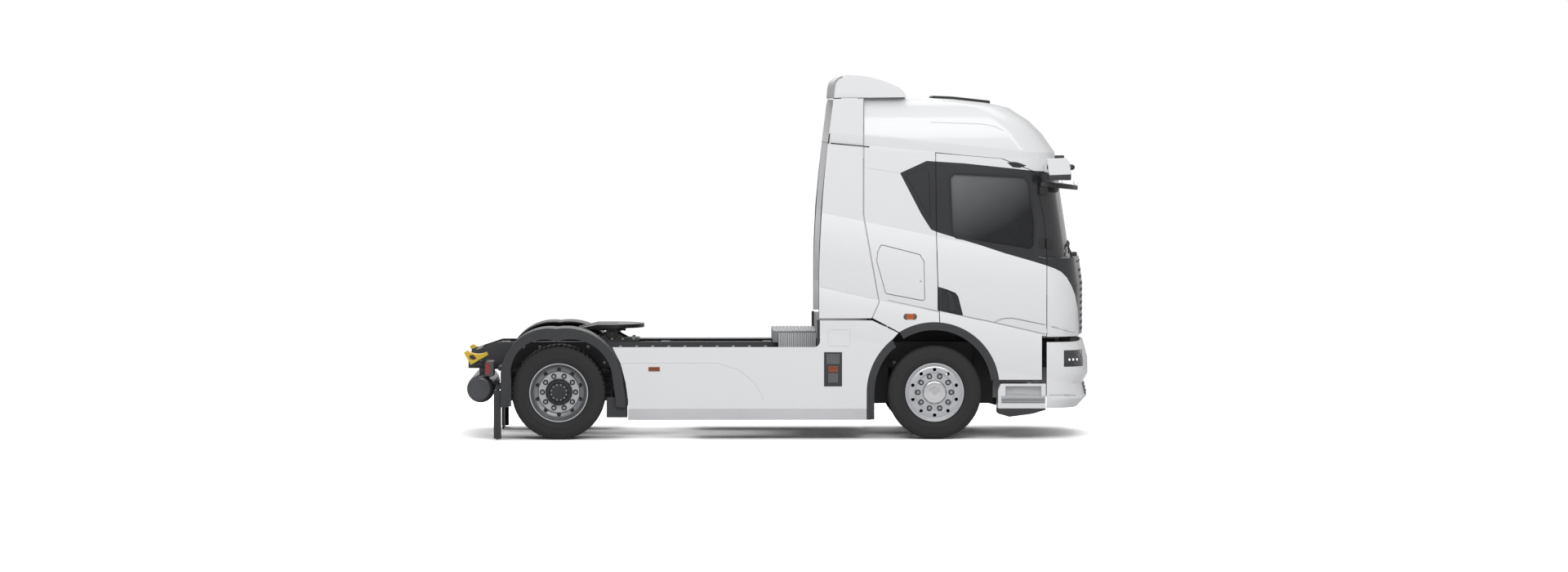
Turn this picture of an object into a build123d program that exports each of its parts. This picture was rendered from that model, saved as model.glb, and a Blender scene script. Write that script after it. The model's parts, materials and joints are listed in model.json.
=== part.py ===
from build123d import *
from math import atan2, cos, degrees, radians, sin, sqrt
import os

os.makedirs("parts", exist_ok=True)

# Cab-over tractor unit, 4x2, high roof. Millimetres.
# X runs forward, Y to the driver's left, Z up; the tyres stand on Z = 0.

# ------------------------------------------------------------ driving dimensions
wheelbase = 3800.0
front_axle_x = 1575.0
rear_axle_x = front_axle_x - wheelbase
body_half_width = 1245.0

seat_gap = 0.3          # between faces that rest on each other
running_gap = 8.0       # between a moving panel and its frame
pin_gap = 1.0           # round a pivot pin

# tyres and rims
tyre_radius = 475.0
front_tyre_width = 315.0
rear_tyre_width = 290.0
rim_radius = 298.0
rim_wall = 14.0
front_track = 2040.0
twin_spacing = 330.0
rear_outer_y = 1050.0
hub_radius = 132.0
spindle_radius = 40.0

# chassis
rail_top = 960.0
rail_height = 270.0
rail_flange = 80.0
rail_thickness = 10.0
rail_half_gap = 425.0
rail_front_x = 2900.0
rear_overhang = 940.0
rail_rear_x = rear_axle_x - rear_overhang
rail_ramp_length = 330.0

# steering
kingpin_y = 850.0
kingpin_radius = 24.0
steer_arm_length = 200.0
steer_arm_drop = 110.0
steer_arm_thickness = 24.0

# fifth wheel
coupling_lead = 527.0     # ahead of the rear axle
coupling_x = rear_axle_x + coupling_lead
coupling_top = 1135.0
coupling_pivot_z = 1040.0
kingpin_bore = 25.5

# cab
cab_rear_x = 861.0
cab_wall = 60.0
floor_top = 1460.0
floor_thickness = 60.0
firewall_x = 2830.0
front_curve = 5000.0
plan_rear_x = 2300.0     # where a level outline of the front is closed off, behind its corners
corner_radius = 330.0
arch_x = 1565.8
arch_z = 525.8
arch_radius = 662.1      # outer edge of the trim round the wheel arch
arch_trim_depth = 48.0
tilt_x = 3000.0
tilt_z = 1090.0
cab_bottom_front = 1040.0
door_bottom = 606.0

# bumper and skirts
bumper_top = 985.0
bumper_bottom = 317.0
bumper_rear_x = 2705.0
bumper_front_x = 3195.0
bumper_wall = 26.0
bumper_arm_height = 120.0
skirt_wall = 30.0
skirt_bottom = 202.0
skirt_top = 936.0
deck_side_top = 1205.0


# ------------------------------------------------------------ shared outlines
def plan_outline(height, front, half_width, rear):
    """Level outline with straight rear and sides, round corners and a gently curved front."""
    centre_x = front - front_curve
    reach = front_curve - corner_radius
    side = half_width - corner_radius
    along = sqrt(reach**2 - side**2)
    lean = degrees(atan2(side, along))
    start = (centre_x + along, half_width)
    middle_angle = radians((90 + lean) / 2)
    middle = (
        centre_x + along + corner_radius * cos(middle_angle),
        side + corner_radius * sin(middle_angle),
    )
    meet = (centre_x + along * front_curve / reach, side * front_curve / reach)
    with BuildSketch(Plane.XY.offset(height)) as outline:
        with BuildLine():
            Polyline((start[0], -half_width), (rear, -half_width), (rear, half_width), start)
            ThreePointArc(start, middle, meet)
            ThreePointArc(meet, (front, 0), (meet[0], -meet[1]))
            ThreePointArc(
                (meet[0], -meet[1]), (middle[0], -middle[1]), (start[0], -half_width)
            )
        make_face()
    return outline.sketch


def side_plane(y):
    """Plane seen from the vehicle's right: local x runs forward, local y up, extrudes to +Y."""
    return Plane(origin=(0, y, 0), x_dir=(1, 0, 0), z_dir=(0, -1, 0))


def front_arch(radius, start=122.0, end=6.95):
    """Three side-view points on an arch over the front wheel, from its rear foot forward."""
    return [
        (arch_x + radius * cos(radians(angle)), arch_z + radius * sin(radians(angle)))
        for angle in (start, (start + end) / 2, end)
    ]


def side_prism(points, y_from, y_to):
    """Solid between two Y positions with a polygon side view."""
    with BuildPart() as prism:
        with BuildSketch(side_plane(y_from)):
            with BuildLine():
                Polyline(*points, close=True)
            make_face()
        extrude(amount=y_from - y_to)
    return prism.part


# ------------------------------------------------------------ chassis frame
rail_bottom = rail_top - rail_height
rail_ramp_drop = 110.0
# the rails' rear ends slope down as a lead-in for the trailer
ramp_cut = side_prism(
    (
        (rail_rear_x - 1, rail_top + 1), (rail_rear_x + rail_ramp_length, rail_top + 1),
        (rail_rear_x - 1, rail_top - rail_ramp_drop),
    ),
    -rail_half_gap - 1,
    rail_half_gap + 1,
)
with BuildPart() as frame_rails:
    rail_length = rail_front_x - rail_rear_x
    rail_middle = (rail_front_x + rail_rear_x) / 2
    web_y = rail_half_gap - rail_thickness / 2
    flange_y = rail_half_gap - rail_flange / 2
    with BuildSketch(Plane.XY.offset(rail_bottom)):
        with Locations((rail_middle, web_y)):
            Rectangle(rail_length, rail_thickness)
    extrude(amount=rail_height)
    for level in (rail_bottom, rail_top - rail_thickness):
        with BuildSketch(Plane.XY.offset(level)):
            with Locations((rail_middle, flange_y)):
                Rectangle(rail_length, rail_flange)
        extrude(amount=rail_thickness)
    mirror(about=Plane.XZ)
    add(ramp_cut, mode=Mode.SUBTRACT)
frame_rails.part.label = "frame_rails"

member_height = 160.0
member_drop = 20.0
# middle of each cross member along X, and its depth
member_places = (
    (rail_rear_x + 105, 60.0), (rail_rear_x + 365, 90.0), (coupling_x + 548, 90.0),
    (-100.0, 90.0), (2745.0, 80.0),
)
with BuildPart() as cross_members:
    member_width = 2 * (rail_half_gap - rail_thickness)
    for member_x, member_depth in member_places:
        with Locations((member_x, 0, rail_top - member_drop - member_height / 2)):
            Box(member_depth, member_width, member_height)
    add(ramp_cut, mode=Mode.SUBTRACT)
cross_members.part.label = "cross_members"

# ------------------------------------------------------------ rear lamps, chocks, tanks
with BuildPart() as lamps:
    # tail lamps on arms from the frame's end
    tail_lamp_x = rail_rear_x + 197
    tail_lamp_z = 708.0
    with Locations((tail_lamp_x + 40, 0, tail_lamp_z)):
        with GridLocations(1, 1560, 1, 2):
            Box(80, 420, 150)
    for side in (1, -1):
        with Locations((tail_lamp_x + 60, side * (rail_half_gap + 72.5), tail_lamp_z + 30)):
            Box(60, 145, 60)
lamps.part.label = "tail_lamps"

chock_angle = 30.0
with BuildPart() as wheel_chocks:
    chock_x = rail_rear_x + 96.6
    chock_z = 845.0
    chock_y = 760.0
    for side in (1, -1):
        chock_plane = Plane(
            origin=(chock_x, side * chock_y + 80, chock_z),
            x_dir=(cos(radians(chock_angle)), 0, sin(radians(chock_angle))),
            z_dir=(0, -1, 0),
        )
        with BuildSketch(chock_plane):
            with BuildLine():
                Line((-100, -60), (100, -60))
                Line((100, -60), (100, -30))
                ThreePointArc((100, -30), (10, 0), (-60, 80))
                Line((-60, 80), (-100, 80))
                Line((-100, 80), (-100, -60))
            make_face()
            with Locations((-50, -5)):
                Circle(28, mode=Mode.SUBTRACT)
        extrude(amount=160)
wheel_chocks.part.label = "wheel_chocks"

tank_inner_y = rail_half_gap + seat_gap
tank_width = 680.0
tank_height = 560.0
tank_bottom = 300.0
fuel_tank_front = 700.0
fuel_tank_rear = -900.0
air_tank_radius = 140.0
air_tank_x = rail_rear_x + 140
air_tank_z = rail_bottom - air_tank_radius - 50
with BuildPart() as tanks:
    tank_middle_y = tank_inner_y + tank_width / 2
    with BuildSketch(Plane.YZ.offset(fuel_tank_rear)):
        for side in (1, -1):
            with Locations((side * tank_middle_y, tank_bottom + tank_height / 2)):
                RectangleRounded(tank_width, tank_height, 90)
    extrude(amount=fuel_tank_front - fuel_tank_rear)
with BuildPart() as air_tank:
    with BuildSketch(Plane.XZ.offset(-900)):
        with Locations((air_tank_x, air_tank_z)):
            Circle(air_tank_radius)
    extrude(amount=1800)
    fillet(air_tank.edges().filter_by(GeomType.CIRCLE), radius=50)
    # straps up to the frame's end member
    with Locations((air_tank_x, 0, (air_tank_z + rail_top - rail_height) / 2 + 30)):
        with GridLocations(1, 2 * rail_half_gap - rail_flange, 1, 2):
            Box(60, 40, rail_top - rail_height - air_tank_z - 60)
with BuildPart() as all_tanks:
    add(tanks.part)
    add(air_tank.part)
all_tanks.part.label = "tanks"

# ------------------------------------------------------------ front axle, springs, steering
axle_eye_height = 110.0
with BuildPart() as front_axle:
    eye_bottom = tyre_radius - axle_eye_height / 2
    with BuildSketch(Plane.YZ.offset(front_axle_x - 50)):
        with BuildLine():
            Polyline(
                (-kingpin_y, tyre_radius - 45), (-kingpin_y + 110, tyre_radius - 45),
                (-560, tyre_radius - 115), (560, tyre_radius - 115),
                (kingpin_y - 110, tyre_radius - 45), (kingpin_y, tyre_radius - 45),
                (kingpin_y, tyre_radius + 45), (kingpin_y - 130, tyre_radius + 45),
                (540, tyre_radius - 10), (-540, tyre_radius - 10),
                (-kingpin_y + 130, tyre_radius + 45), (-kingpin_y, tyre_radius + 45),
                close=True,
            )
        make_face()
    extrude(amount=100)
    with BuildSketch(Plane.XY.offset(eye_bottom)):
        with Locations((front_axle_x, kingpin_y), (front_axle_x, -kingpin_y)):
            Circle(50)
    extrude(amount=axle_eye_height)
    with Locations((front_axle_x, kingpin_y, tyre_radius), (front_axle_x, -kingpin_y, tyre_radius)):
        Cylinder(kingpin_radius + pin_gap, 2 * axle_eye_height, mode=Mode.SUBTRACT)
front_axle.part.label = "front_axle"

spring_y = 385.0
spring_width = 75.0
spring_span = 1500.0
spring_seat_z = tyre_radius - 10 + seat_gap
leaf_thickness = 24.0
leaf_gap = 6.0
# each leaf: share of the span, height of its underside at the axle
leaves = ((0.88, 0.0), (1.0, leaf_thickness + leaf_gap))
with BuildPart() as front_springs:
    end_rise = rail_bottom - seat_gap - spring_seat_z
    for side in (1, -1):
        for share, lift in leaves:
            half_span = share * spring_span / 2
            end_low = spring_seat_z + lift + (end_rise - lift - leaf_thickness) * share**2
            with BuildSketch(side_plane(side * spring_y - spring_width / 2)):
                with BuildLine():
                    lower = ThreePointArc(
                        (front_axle_x - half_span, end_low),
                        (front_axle_x, spring_seat_z + lift),
                        (front_axle_x + half_span, end_low),
                    )
                    Line(lower @ 1, (front_axle_x + half_span, end_low + leaf_thickness))
                    upper = ThreePointArc(
                        (front_axle_x + half_span, end_low + leaf_thickness),
                        (front_axle_x, spring_seat_z + lift + leaf_thickness),
                        (front_axle_x - half_span, end_low + leaf_thickness),
                    )
                    Line(upper @ 1, lower @ 0)
                make_face()
            extrude(amount=-spring_width)
        # clamp over the axle
        with Locations((front_axle_x, side * spring_y, spring_seat_z + leaf_thickness + 10)):
            Box(130, spring_width + 24, 2 * leaf_thickness + 20)
front_springs.part.label = "front_springs"

knuckle_ear = 45.0
yoke_gap = 3.0
front_hub_face_y = 150.0     # kingpin to the wheel disc
ball_radius = 22.0
with BuildPart() as knuckle_left:
    ear_low = tyre_radius - axle_eye_height / 2 - yoke_gap - knuckle_ear
    ear_high = tyre_radius + axle_eye_height / 2 + yoke_gap
    # two ears, the pin between them, and the back plate that carries the spindle
    for level in (ear_low, ear_high):
        with BuildSketch(Plane.XY.offset(level)):
            with Locations((front_axle_x, kingpin_y)):
                Circle(48)
            with Locations((front_axle_x, kingpin_y + 45)):
                Rectangle(96, 90)
        extrude(amount=knuckle_ear)
    with Locations((front_axle_x, kingpin_y, tyre_radius)):
        Cylinder(kingpin_radius, ear_high - ear_low + 20)
    with Locations((front_axle_x, kingpin_y + 78, tyre_radius)):
        Box(130, 36, ear_high + knuckle_ear - ear_low)
    with BuildSketch(Plane.XZ.offset(-(kingpin_y + 90))):
        with Locations((front_axle_x, tyre_radius)):
            Circle(spindle_radius)
    extrude(amount=-180)
    # steering arm to the tie rod's ball
    arm_z = tyre_radius - steer_arm_drop
    with BuildSketch(Plane.XY.offset(arm_z + 12)):
        with BuildLine():
            Polyline(
                (front_axle_x - steer_arm_length - 25, kingpin_y - 25),
                (front_axle_x + 45, kingpin_y - 25),
                (front_axle_x + 45, kingpin_y + 60),
                (front_axle_x - 40, kingpin_y + 60),
                (front_axle_x - steer_arm_length - 25, kingpin_y + 25),
                close=True,
            )
        make_face()
    extrude(amount=steer_arm_thickness)
    with Locations((front_axle_x - steer_arm_length, kingpin_y, arm_z)):
        Cylinder(12, 60)
with BuildPart() as knuckle_right:
    mirror(knuckle_left.part, about=Plane.XZ)
knuckle_left.part.label = "knuckle_left"
knuckle_right.part.label = "knuckle_right"

tie_rod_radius = 18.0
with BuildPart() as tie_rod:
    rod_x = front_axle_x - steer_arm_length
    rod_z = arm_z - 12
    with BuildSketch(Plane.XZ.offset(-kingpin_y)):
        with Locations((rod_x, rod_z)):
            Circle(tie_rod_radius)
    extrude(amount=2 * kingpin_y)
    with BuildSketch(Plane.XY.offset(rod_z - 20)):
        with Locations((rod_x, kingpin_y), (rod_x, -kingpin_y)):
            Circle(32)
    extrude(amount=40)
    with Locations((rod_x, kingpin_y, rod_z), (rod_x, -kingpin_y, rod_z)):
        Cylinder(12 + pin_gap, 80, mode=Mode.SUBTRACT)
tie_rod.part.label = "tie_rod"


# ------------------------------------------------------------ wheels
def tyre(axle_x, middle_y, width):
    """A tyre turned about its axle, with round shoulders."""
    half = width / 2
    with BuildPart() as body:
        with BuildSketch(Plane.YZ.offset(axle_x)):
            with BuildLine():
                Line((middle_y - half + 25, tyre_radius * 2), (middle_y + half - 25, tyre_radius * 2))
                ThreePointArc(
                    (middle_y + half - 25, tyre_radius * 2),
                    (middle_y + half - 7, tyre_radius * 2 - 9),
                    (middle_y + half, tyre_radius * 2 - 35),
                )
                ThreePointArc(
                    (middle_y + half, tyre_radius * 2 - 35),
                    (middle_y + half + 4, tyre_radius * 2 - 90),
                    (middle_y + half - 22, tyre_radius + rim_radius + seat_gap),
                )
                Line(
                    (middle_y + half - 22, tyre_radius + rim_radius + seat_gap),
                    (middle_y - half + 22, tyre_radius + rim_radius + seat_gap),
                )
                ThreePointArc(
                    (middle_y - half + 22, tyre_radius + rim_radius + seat_gap),
                    (middle_y - half - 4, tyre_radius * 2 - 90),
                    (middle_y - half, tyre_radius * 2 - 35),
                )
                ThreePointArc(
                    (middle_y - half, tyre_radius * 2 - 35),
                    (middle_y - half + 7, tyre_radius * 2 - 9),
                    (middle_y - half + 25, tyre_radius * 2),
                )
            make_face()
        revolve(axis=Axis((axle_x, 0, tyre_radius), (0, 1, 0)))
    return body.part


def ring_section(axle_x, points):
    """A turned piece from (y, radius) corners."""
    with BuildPart() as body:
        with BuildSketch(Plane.YZ.offset(axle_x)):
            with BuildLine():
                Polyline(*[(y, tyre_radius + radius) for y, radius in points], close=True)
            make_face()
        revolve(axis=Axis((axle_x, 0, tyre_radius), (0, 1, 0)))
    return body.part


front_tyre_y = front_track / 2
disc_y = front_tyre_y + 95.0
with BuildPart() as tyre_front_left:
    add(tyre(front_axle_x, front_tyre_y, front_tyre_width))
with BuildPart() as rim_front_left:
    half = front_tyre_width / 2
    add(
        ring_section(
            front_axle_x,
            (
                (front_tyre_y - half + 8, rim_radius), (front_tyre_y + half - 8, rim_radius),
                (front_tyre_y + half - 8, rim_radius - rim_wall),
                (disc_y + 16, rim_radius - 2 * rim_wall), (disc_y + 16, spindle_radius + pin_gap),
                (disc_y - 30, spindle_radius + pin_gap), (disc_y - 30, 120), (disc_y, 120),
                (disc_y, rim_radius - 2 * rim_wall),
                (front_tyre_y - half + 8, rim_radius - rim_wall),
            ),
        )
    )
    # hub drum and cap
    with BuildSketch(Plane.XZ.offset(-(disc_y + 16))):
        with Locations((front_axle_x, tyre_radius)):
            Circle(115)
    extrude(amount=-40)
    with BuildSketch(Plane.XZ.offset(-disc_y)):
        with Locations((front_axle_x, tyre_radius)):
            with PolarLocations(232, 10, start_angle=90):
                Circle(29)
    extrude(amount=-20, mode=Mode.SUBTRACT)

twin_inner_y = rear_outer_y - twin_spacing
twin_disc_y = (rear_outer_y + twin_inner_y) / 2
with BuildPart() as tyres_rear_left:
    for wheel_y in (rear_outer_y, twin_inner_y):
        add(tyre(rear_axle_x, wheel_y, rear_tyre_width))
with BuildPart() as rims_rear_left:
    half = rear_tyre_width / 2
    for wheel_y, disc_side in ((rear_outer_y, 1), (twin_inner_y, -1)):
        add(
            ring_section(
                rear_axle_x,
                (
                    (wheel_y + disc_side * (half - 8), rim_radius),
                    (wheel_y - disc_side * (half - 8), rim_radius),
                    (wheel_y - disc_side * (half - 8), rim_radius - rim_wall),
                    (twin_disc_y + disc_side * 16, 225), (twin_disc_y, 225),
                    (twin_disc_y, 100), (twin_disc_y + disc_side * 16, 100),
                    (twin_disc_y + disc_side * 16, 210),
                    (wheel_y - disc_side * (half - 40), rim_radius - rim_wall),
                    (wheel_y + disc_side * (half - 8), rim_radius - rim_wall),
                ),
            )
        )
    with BuildSketch(Plane.XZ.offset(-(twin_disc_y - 200))):
        with Locations((rear_axle_x, tyre_radius)):
            Circle(hub_radius)
            Circle(spindle_radius + pin_gap, mode=Mode.SUBTRACT)
    extrude(amount=-360)
    with BuildSketch(Plane.XZ.offset(-(twin_disc_y + 160))):
        with Locations((rear_axle_x, tyre_radius)):
            Circle(hub_radius - 20)
    extrude(amount=-30)

wheel_pairs = (
    ("tyre_front", tyre_front_left),
    ("rim_front", rim_front_left),
    ("tyres_rear", tyres_rear_left),
    ("rims_rear", rims_rear_left),
)

# ------------------------------------------------------------ rear axle and its bellows
bellows_radius = 125.0
bellows_waist = 95.0
bellows_spread = 700.0
bellows_x_offset = 420.0
shaft_reach = 300.0      # from the rear axle to the propeller shaft's end
shaft_radius = 55.0
shaft_rear_z = 500.0
shaft_front_x = 450.0
shaft_rise = 200.0
shaft_run = shaft_front_x - rear_axle_x - shaft_reach
with BuildPart() as rear_axle:
    with BuildSketch(Plane.XZ.offset(-520)):
        with Locations((rear_axle_x, tyre_radius)):
            Circle(75)
    extrude(amount=1040)
    with BuildSketch(Plane.XZ.offset(-(twin_disc_y + 120))):
        with Locations((rear_axle_x, tyre_radius)):
            Circle(spindle_radius)
    extrude(amount=2 * (twin_disc_y + 120))
    with Locations((rear_axle_x, 0, tyre_radius)):
        Sphere(210)
    # pinion nose towards the propeller shaft
    nose_length = shaft_reach - shaft_radius * shaft_rise / shaft_run - seat_gap
    with BuildSketch(Plane.YZ.offset(rear_axle_x)):
        with Locations((0, shaft_rear_z - 10)):
            Circle(95)
    extrude(amount=nose_length)
    # cross beams under the bellows
    with Locations((rear_axle_x, 0, tyre_radius - 90)):
        with GridLocations(1, bellows_spread, 1, 2):
            Box(2 * bellows_x_offset + 200, 90, 60)
            Box(160, 90, 130)
rear_axle.part.label = "rear_axle"

with BuildPart() as air_bellows:
    bellows_bottom = tyre_radius - 60 + seat_gap
    bellows_top = rail_top - rail_height - seat_gap
    for bellows_x in (rear_axle_x - bellows_x_offset, rear_axle_x + bellows_x_offset):
        for bellows_y in (-bellows_spread / 2, bellows_spread / 2):
            middle_z = (bellows_bottom + bellows_top) / 2
            low_z = (bellows_bottom + middle_z) / 2
            high_z = (bellows_top + middle_z) / 2
            with BuildSketch(Plane.XZ.offset(-bellows_y)):
                with BuildLine():
                    Line((bellows_x, bellows_bottom), (bellows_x + bellows_waist, bellows_bottom))
                    ThreePointArc(
                        (bellows_x + bellows_waist, bellows_bottom),
                        (bellows_x + bellows_radius, low_z),
                        (bellows_x + bellows_waist, middle_z),
                    )
                    ThreePointArc(
                        (bellows_x + bellows_waist, middle_z),
                        (bellows_x + bellows_radius, high_z),
                        (bellows_x + bellows_waist, bellows_top),
                    )
                    Line((bellows_x + bellows_waist, bellows_top), (bellows_x, bellows_top))
                    Line((bellows_x, bellows_top), (bellows_x, bellows_bottom))
                make_face()
            revolve(axis=Axis((bellows_x, bellows_y, 0), (0, 0, 1)))
air_bellows.part.label = "air_bellows"

# ------------------------------------------------------------ engine and radiator
mount_half = rail_half_gap - rail_flange - seat_gap
with BuildPart() as engine:
    with Locations((1800, 0, 990)):
        Box(1300, 640, 700)
    for mount_x in (1500, 2200):
        with Locations((mount_x, 0, rail_top - rail_height / 2)):
            Box(120, 2 * mount_half, rail_height - 10)
    with Locations((800, 0, 860)):
        Box(700, 480, 440)
    shaft_start = (rear_axle_x + shaft_reach, 0, shaft_rear_z)
    with BuildSketch(Plane(origin=shaft_start, z_dir=(shaft_run, 0, shaft_rise))):
        Circle(shaft_radius)
    extrude(amount=sqrt(shaft_run**2 + shaft_rise**2) + 20)
    with Locations((2640, 0, 1050)):
        Box(120, 2 * mount_half, 660)
engine.part.label = "engine_and_radiator"

# ------------------------------------------------------------ side skirts and catwalk
skirt_arch_radius = 690.0
skirt_rear_x = rear_axle_x + 701
skirt_corner = 60.0
deck_side_x = 413.0


def arch_point(radius, angle):
    """Side-view point round the front wheel, behind it at 0 degrees and above it at 90."""
    return (
        front_axle_x - radius * cos(radians(angle)),
        tyre_radius + radius * sin(radians(angle)),
    )


with BuildPart() as side_skirts:
    with BuildSketch(side_plane(-body_half_width)):
        with BuildLine():
            Polyline(
                (skirt_rear_x, skirt_bottom), (skirt_rear_x, 400), (skirt_rear_x - 25, 581),
                (skirt_rear_x - 74, 771), (skirt_rear_x - 157, skirt_top),
                (deck_side_x - skirt_corner, skirt_top),
            )
            ThreePointArc(
                (deck_side_x - skirt_corner, skirt_top),
                (
                    deck_side_x - skirt_corner * (1 - cos(radians(45))),
                    skirt_top + skirt_corner * (1 - sin(radians(45))),
                ),
                (deck_side_x, skirt_top + skirt_corner),
            )
            Polyline(
                (deck_side_x, skirt_top + skirt_corner), (deck_side_x, deck_side_top),
                (941, deck_side_top), (1205, 1080), arch_point(skirt_arch_radius, 52),
            )
            ThreePointArc(*[arch_point(skirt_arch_radius, angle) for angle in (52, 26, 0)])
            Polyline(
                arch_point(skirt_arch_radius, 0),
                (front_axle_x - skirt_arch_radius, skirt_bottom), (skirt_rear_x, skirt_bottom),
            )
        make_face()
    extrude(amount=-skirt_wall)
    # stand-off blocks to the tanks
    stand_off_from = tank_inner_y + tank_width + seat_gap
    with BuildSketch(side_plane(-stand_off_from)):
        with Locations((-500, 560), (300, 560)):
            Rectangle(80, 200)
    extrude(amount=body_half_width - skirt_wall - stand_off_from)
    mirror(about=Plane.XZ)
side_skirts.part.label = "side_skirts"

catwalk_x = 170.0
catwalk_length = 440.0
catwalk_width = 1300.0
catwalk_height = 120.0
rib_count = 12
with BuildPart() as catwalk:
    rib_height = 6.0
    tread_height = catwalk_height - rib_height
    with Locations((catwalk_x, 0, rail_top + seat_gap + tread_height / 2)):
        Box(catwalk_length, catwalk_width - 2 * rib_height, tread_height)
    # ribs pressed across the tread and down its ends
    with Locations((catwalk_x, 0, rail_top + seat_gap + catwalk_height / 2)):
        with GridLocations(catwalk_length / rib_count, 1, rib_count, 1):
            Box(catwalk_length / rib_count / 2, catwalk_width, catwalk_height)
catwalk.part.label = "catwalk"

# ------------------------------------------------------------ fifth wheel
saddle_half_width = 330.0
pivot_radius = 30.0
with BuildPart() as fifth_wheel_base:
    with Locations((coupling_x, 0, rail_top + seat_gap + 10)):
        Box(560, 2 * rail_half_gap, 20)
    for side in (1, -1):
        with BuildSketch(side_plane(side * saddle_half_width - 25)):
            with BuildLine():
                Polyline(
                    (coupling_x - 170, rail_top + 20), (coupling_x + 170, rail_top + 20),
                    (coupling_x + 60, coupling_pivot_z), (coupling_x - 60, coupling_pivot_z),
                    close=True,
                )
            make_face()
        extrude(amount=-50)
        with BuildSketch(side_plane(side * saddle_half_width - 45)):
            with Locations((coupling_x, coupling_pivot_z)):
                Circle(pivot_radius)
        extrude(amount=-90)
fifth_wheel_base.part.label = "fifth_wheel_base"

plate_thickness = 40.0
plate_bottom = coupling_top - plate_thickness
plate_rear_x = coupling_x - 350
throat_half = 60.0
ramp_drop = 45.0
rib_depth = 30.0
with BuildPart() as fifth_wheel_plate:
    # plan: a round front, two horns behind and the throat between them
    with BuildSketch(Plane.XY.offset(plate_bottom - ramp_drop)):
        with BuildLine():
            ThreePointArc((coupling_x + 60, -450), (coupling_x + 330, 0), (coupling_x + 60, 450))
            Polyline(
                (coupling_x + 60, 450), (coupling_x - 150, 450), (plate_rear_x, 330),
                (plate_rear_x, 190), (coupling_x - 130, throat_half),
                (coupling_x + 60, throat_half), (coupling_x + 60, -throat_half),
                (coupling_x - 130, -throat_half), (plate_rear_x, -190), (plate_rear_x, -330),
                (coupling_x - 150, -450), (coupling_x + 60, -450),
            )
        make_face()
    extrude(amount=plate_thickness + ramp_drop)
    # side view: the horns slope down as ramps
    with BuildSketch(side_plane(-500)):
        with BuildLine():
            Polyline(
                (coupling_x + 400, coupling_top), (coupling_x - 150, coupling_top),
                (plate_rear_x - 1, coupling_top - ramp_drop),
                (plate_rear_x - 1, plate_bottom - ramp_drop), (coupling_x - 150, plate_bottom),
                (coupling_x + 400, plate_bottom), close=True,
            )
        make_face()
    extrude(amount=-1000, mode=Mode.INTERSECT)
    # ribs under the plate, fore and aft beside the throat and across ahead of it
    for side in (1, -1):
        with Locations((coupling_x - 20, side * 200, plate_bottom - rib_depth / 2)):
            Box(300, 16, rib_depth)
    with Locations((coupling_x + 130, 0, plate_bottom - rib_depth / 2)):
        Box(16, 2 * (saddle_half_width - 60), rib_depth)
    # ears that ride on the pivots
    for side in (1, -1):
        for ear_y in (side * saddle_half_width - 45, side * saddle_half_width + 31):
            with BuildSketch(side_plane(ear_y)):
                with Locations((coupling_x, (plate_bottom + coupling_pivot_z) / 2)):
                    Rectangle(120, plate_bottom - coupling_pivot_z)
                with Locations((coupling_x, coupling_pivot_z)):
                    Circle(55)
                    Circle(pivot_radius + pin_gap, mode=Mode.SUBTRACT)
            extrude(amount=-14)
fifth_wheel_plate.part.label = "fifth_wheel_plate"

with BuildPart() as kingpin_jaw:
    with BuildSketch(Plane.XY.offset(plate_bottom)):
        with Locations((coupling_x, 0)):
            Rectangle(120 - 2 * seat_gap, 2 * throat_half - 2 * seat_gap)
            Circle(kingpin_bore, mode=Mode.SUBTRACT)
    extrude(amount=plate_thickness - 4)
kingpin_jaw.part.label = "kingpin_jaw"

# ------------------------------------------------------------ wheel guards
guard_inner_y = 590.0
guard_wall = 12.0
guard_lip = 75.0
guard_rear_x = rear_axle_x - 585
flap_x = guard_rear_x - 38
flap_thickness = 14.0
flap_bottom = 5.0
flap_top = 560.0


def guard_outline(inset):
    """Side view of a rear mudguard, drawn in along its arch by an inset; open below."""
    foot = 330 if inset == 0 else 300
    front_foot = 400 if inset == 0 else 370
    rear = rear_axle_x - 585 + inset
    front = rear_axle_x + 645 - inset
    with BuildSketch() as outline:
        with BuildLine():
            Line((rear, foot), (rear, 620))
            ThreePointArc((rear, 620), (rear + 170, 1010 - inset / 2), (rear_axle_x - 25, 1122 - inset))
            ThreePointArc(
                (rear_axle_x - 25, 1122 - inset), (front - 230, 1015 - inset / 2), (front, 620)
            )
            Polyline((front, 620), (front + 30, front_foot), (front + 30, foot), (rear, foot))
        make_face()
    return outline.sketch


with BuildPart() as wheel_guards:
    # rear mudguards: an arched band over the twin tyres, with a lip down its outer side
    with BuildSketch(side_plane(-body_half_width)):
        add(guard_outline(0))
        add(guard_outline(guard_wall), mode=Mode.SUBTRACT)
    extrude(amount=guard_inner_y - body_half_width)
    with BuildSketch(side_plane(-body_half_width)):
        add(guard_outline(0))
        add(guard_outline(guard_lip), mode=Mode.SUBTRACT)
    extrude(amount=-guard_wall)
    # flap behind, hung from a clamp bar
    guard_width = body_half_width - guard_inner_y
    guard_middle_y = -(guard_inner_y + body_half_width) / 2
    with Locations((flap_x, guard_middle_y, (flap_bottom + flap_top) / 2)):
        Box(flap_thickness, guard_width - 40, flap_top - flap_bottom)
    with Locations(((flap_x + guard_rear_x) / 2, guard_middle_y, flap_top - 30)):
        Box(guard_rear_x - flap_x + 10, guard_width - 60, 40)
    # tubes out from the frame behind and ahead of the tyres
    for tube_x, tube_z in ((guard_rear_x - 6, 720), (rear_axle_x + 607, 720)):
        with BuildSketch(side_plane(-body_half_width + 40)):
            with Locations((tube_x, tube_z)):
                Circle(22)
        extrude(amount=-(body_half_width - 40 - rail_half_gap - seat_gap))
    mirror(about=Plane.XZ)
wheel_guards.part.label = "wheel_guards"
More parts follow.
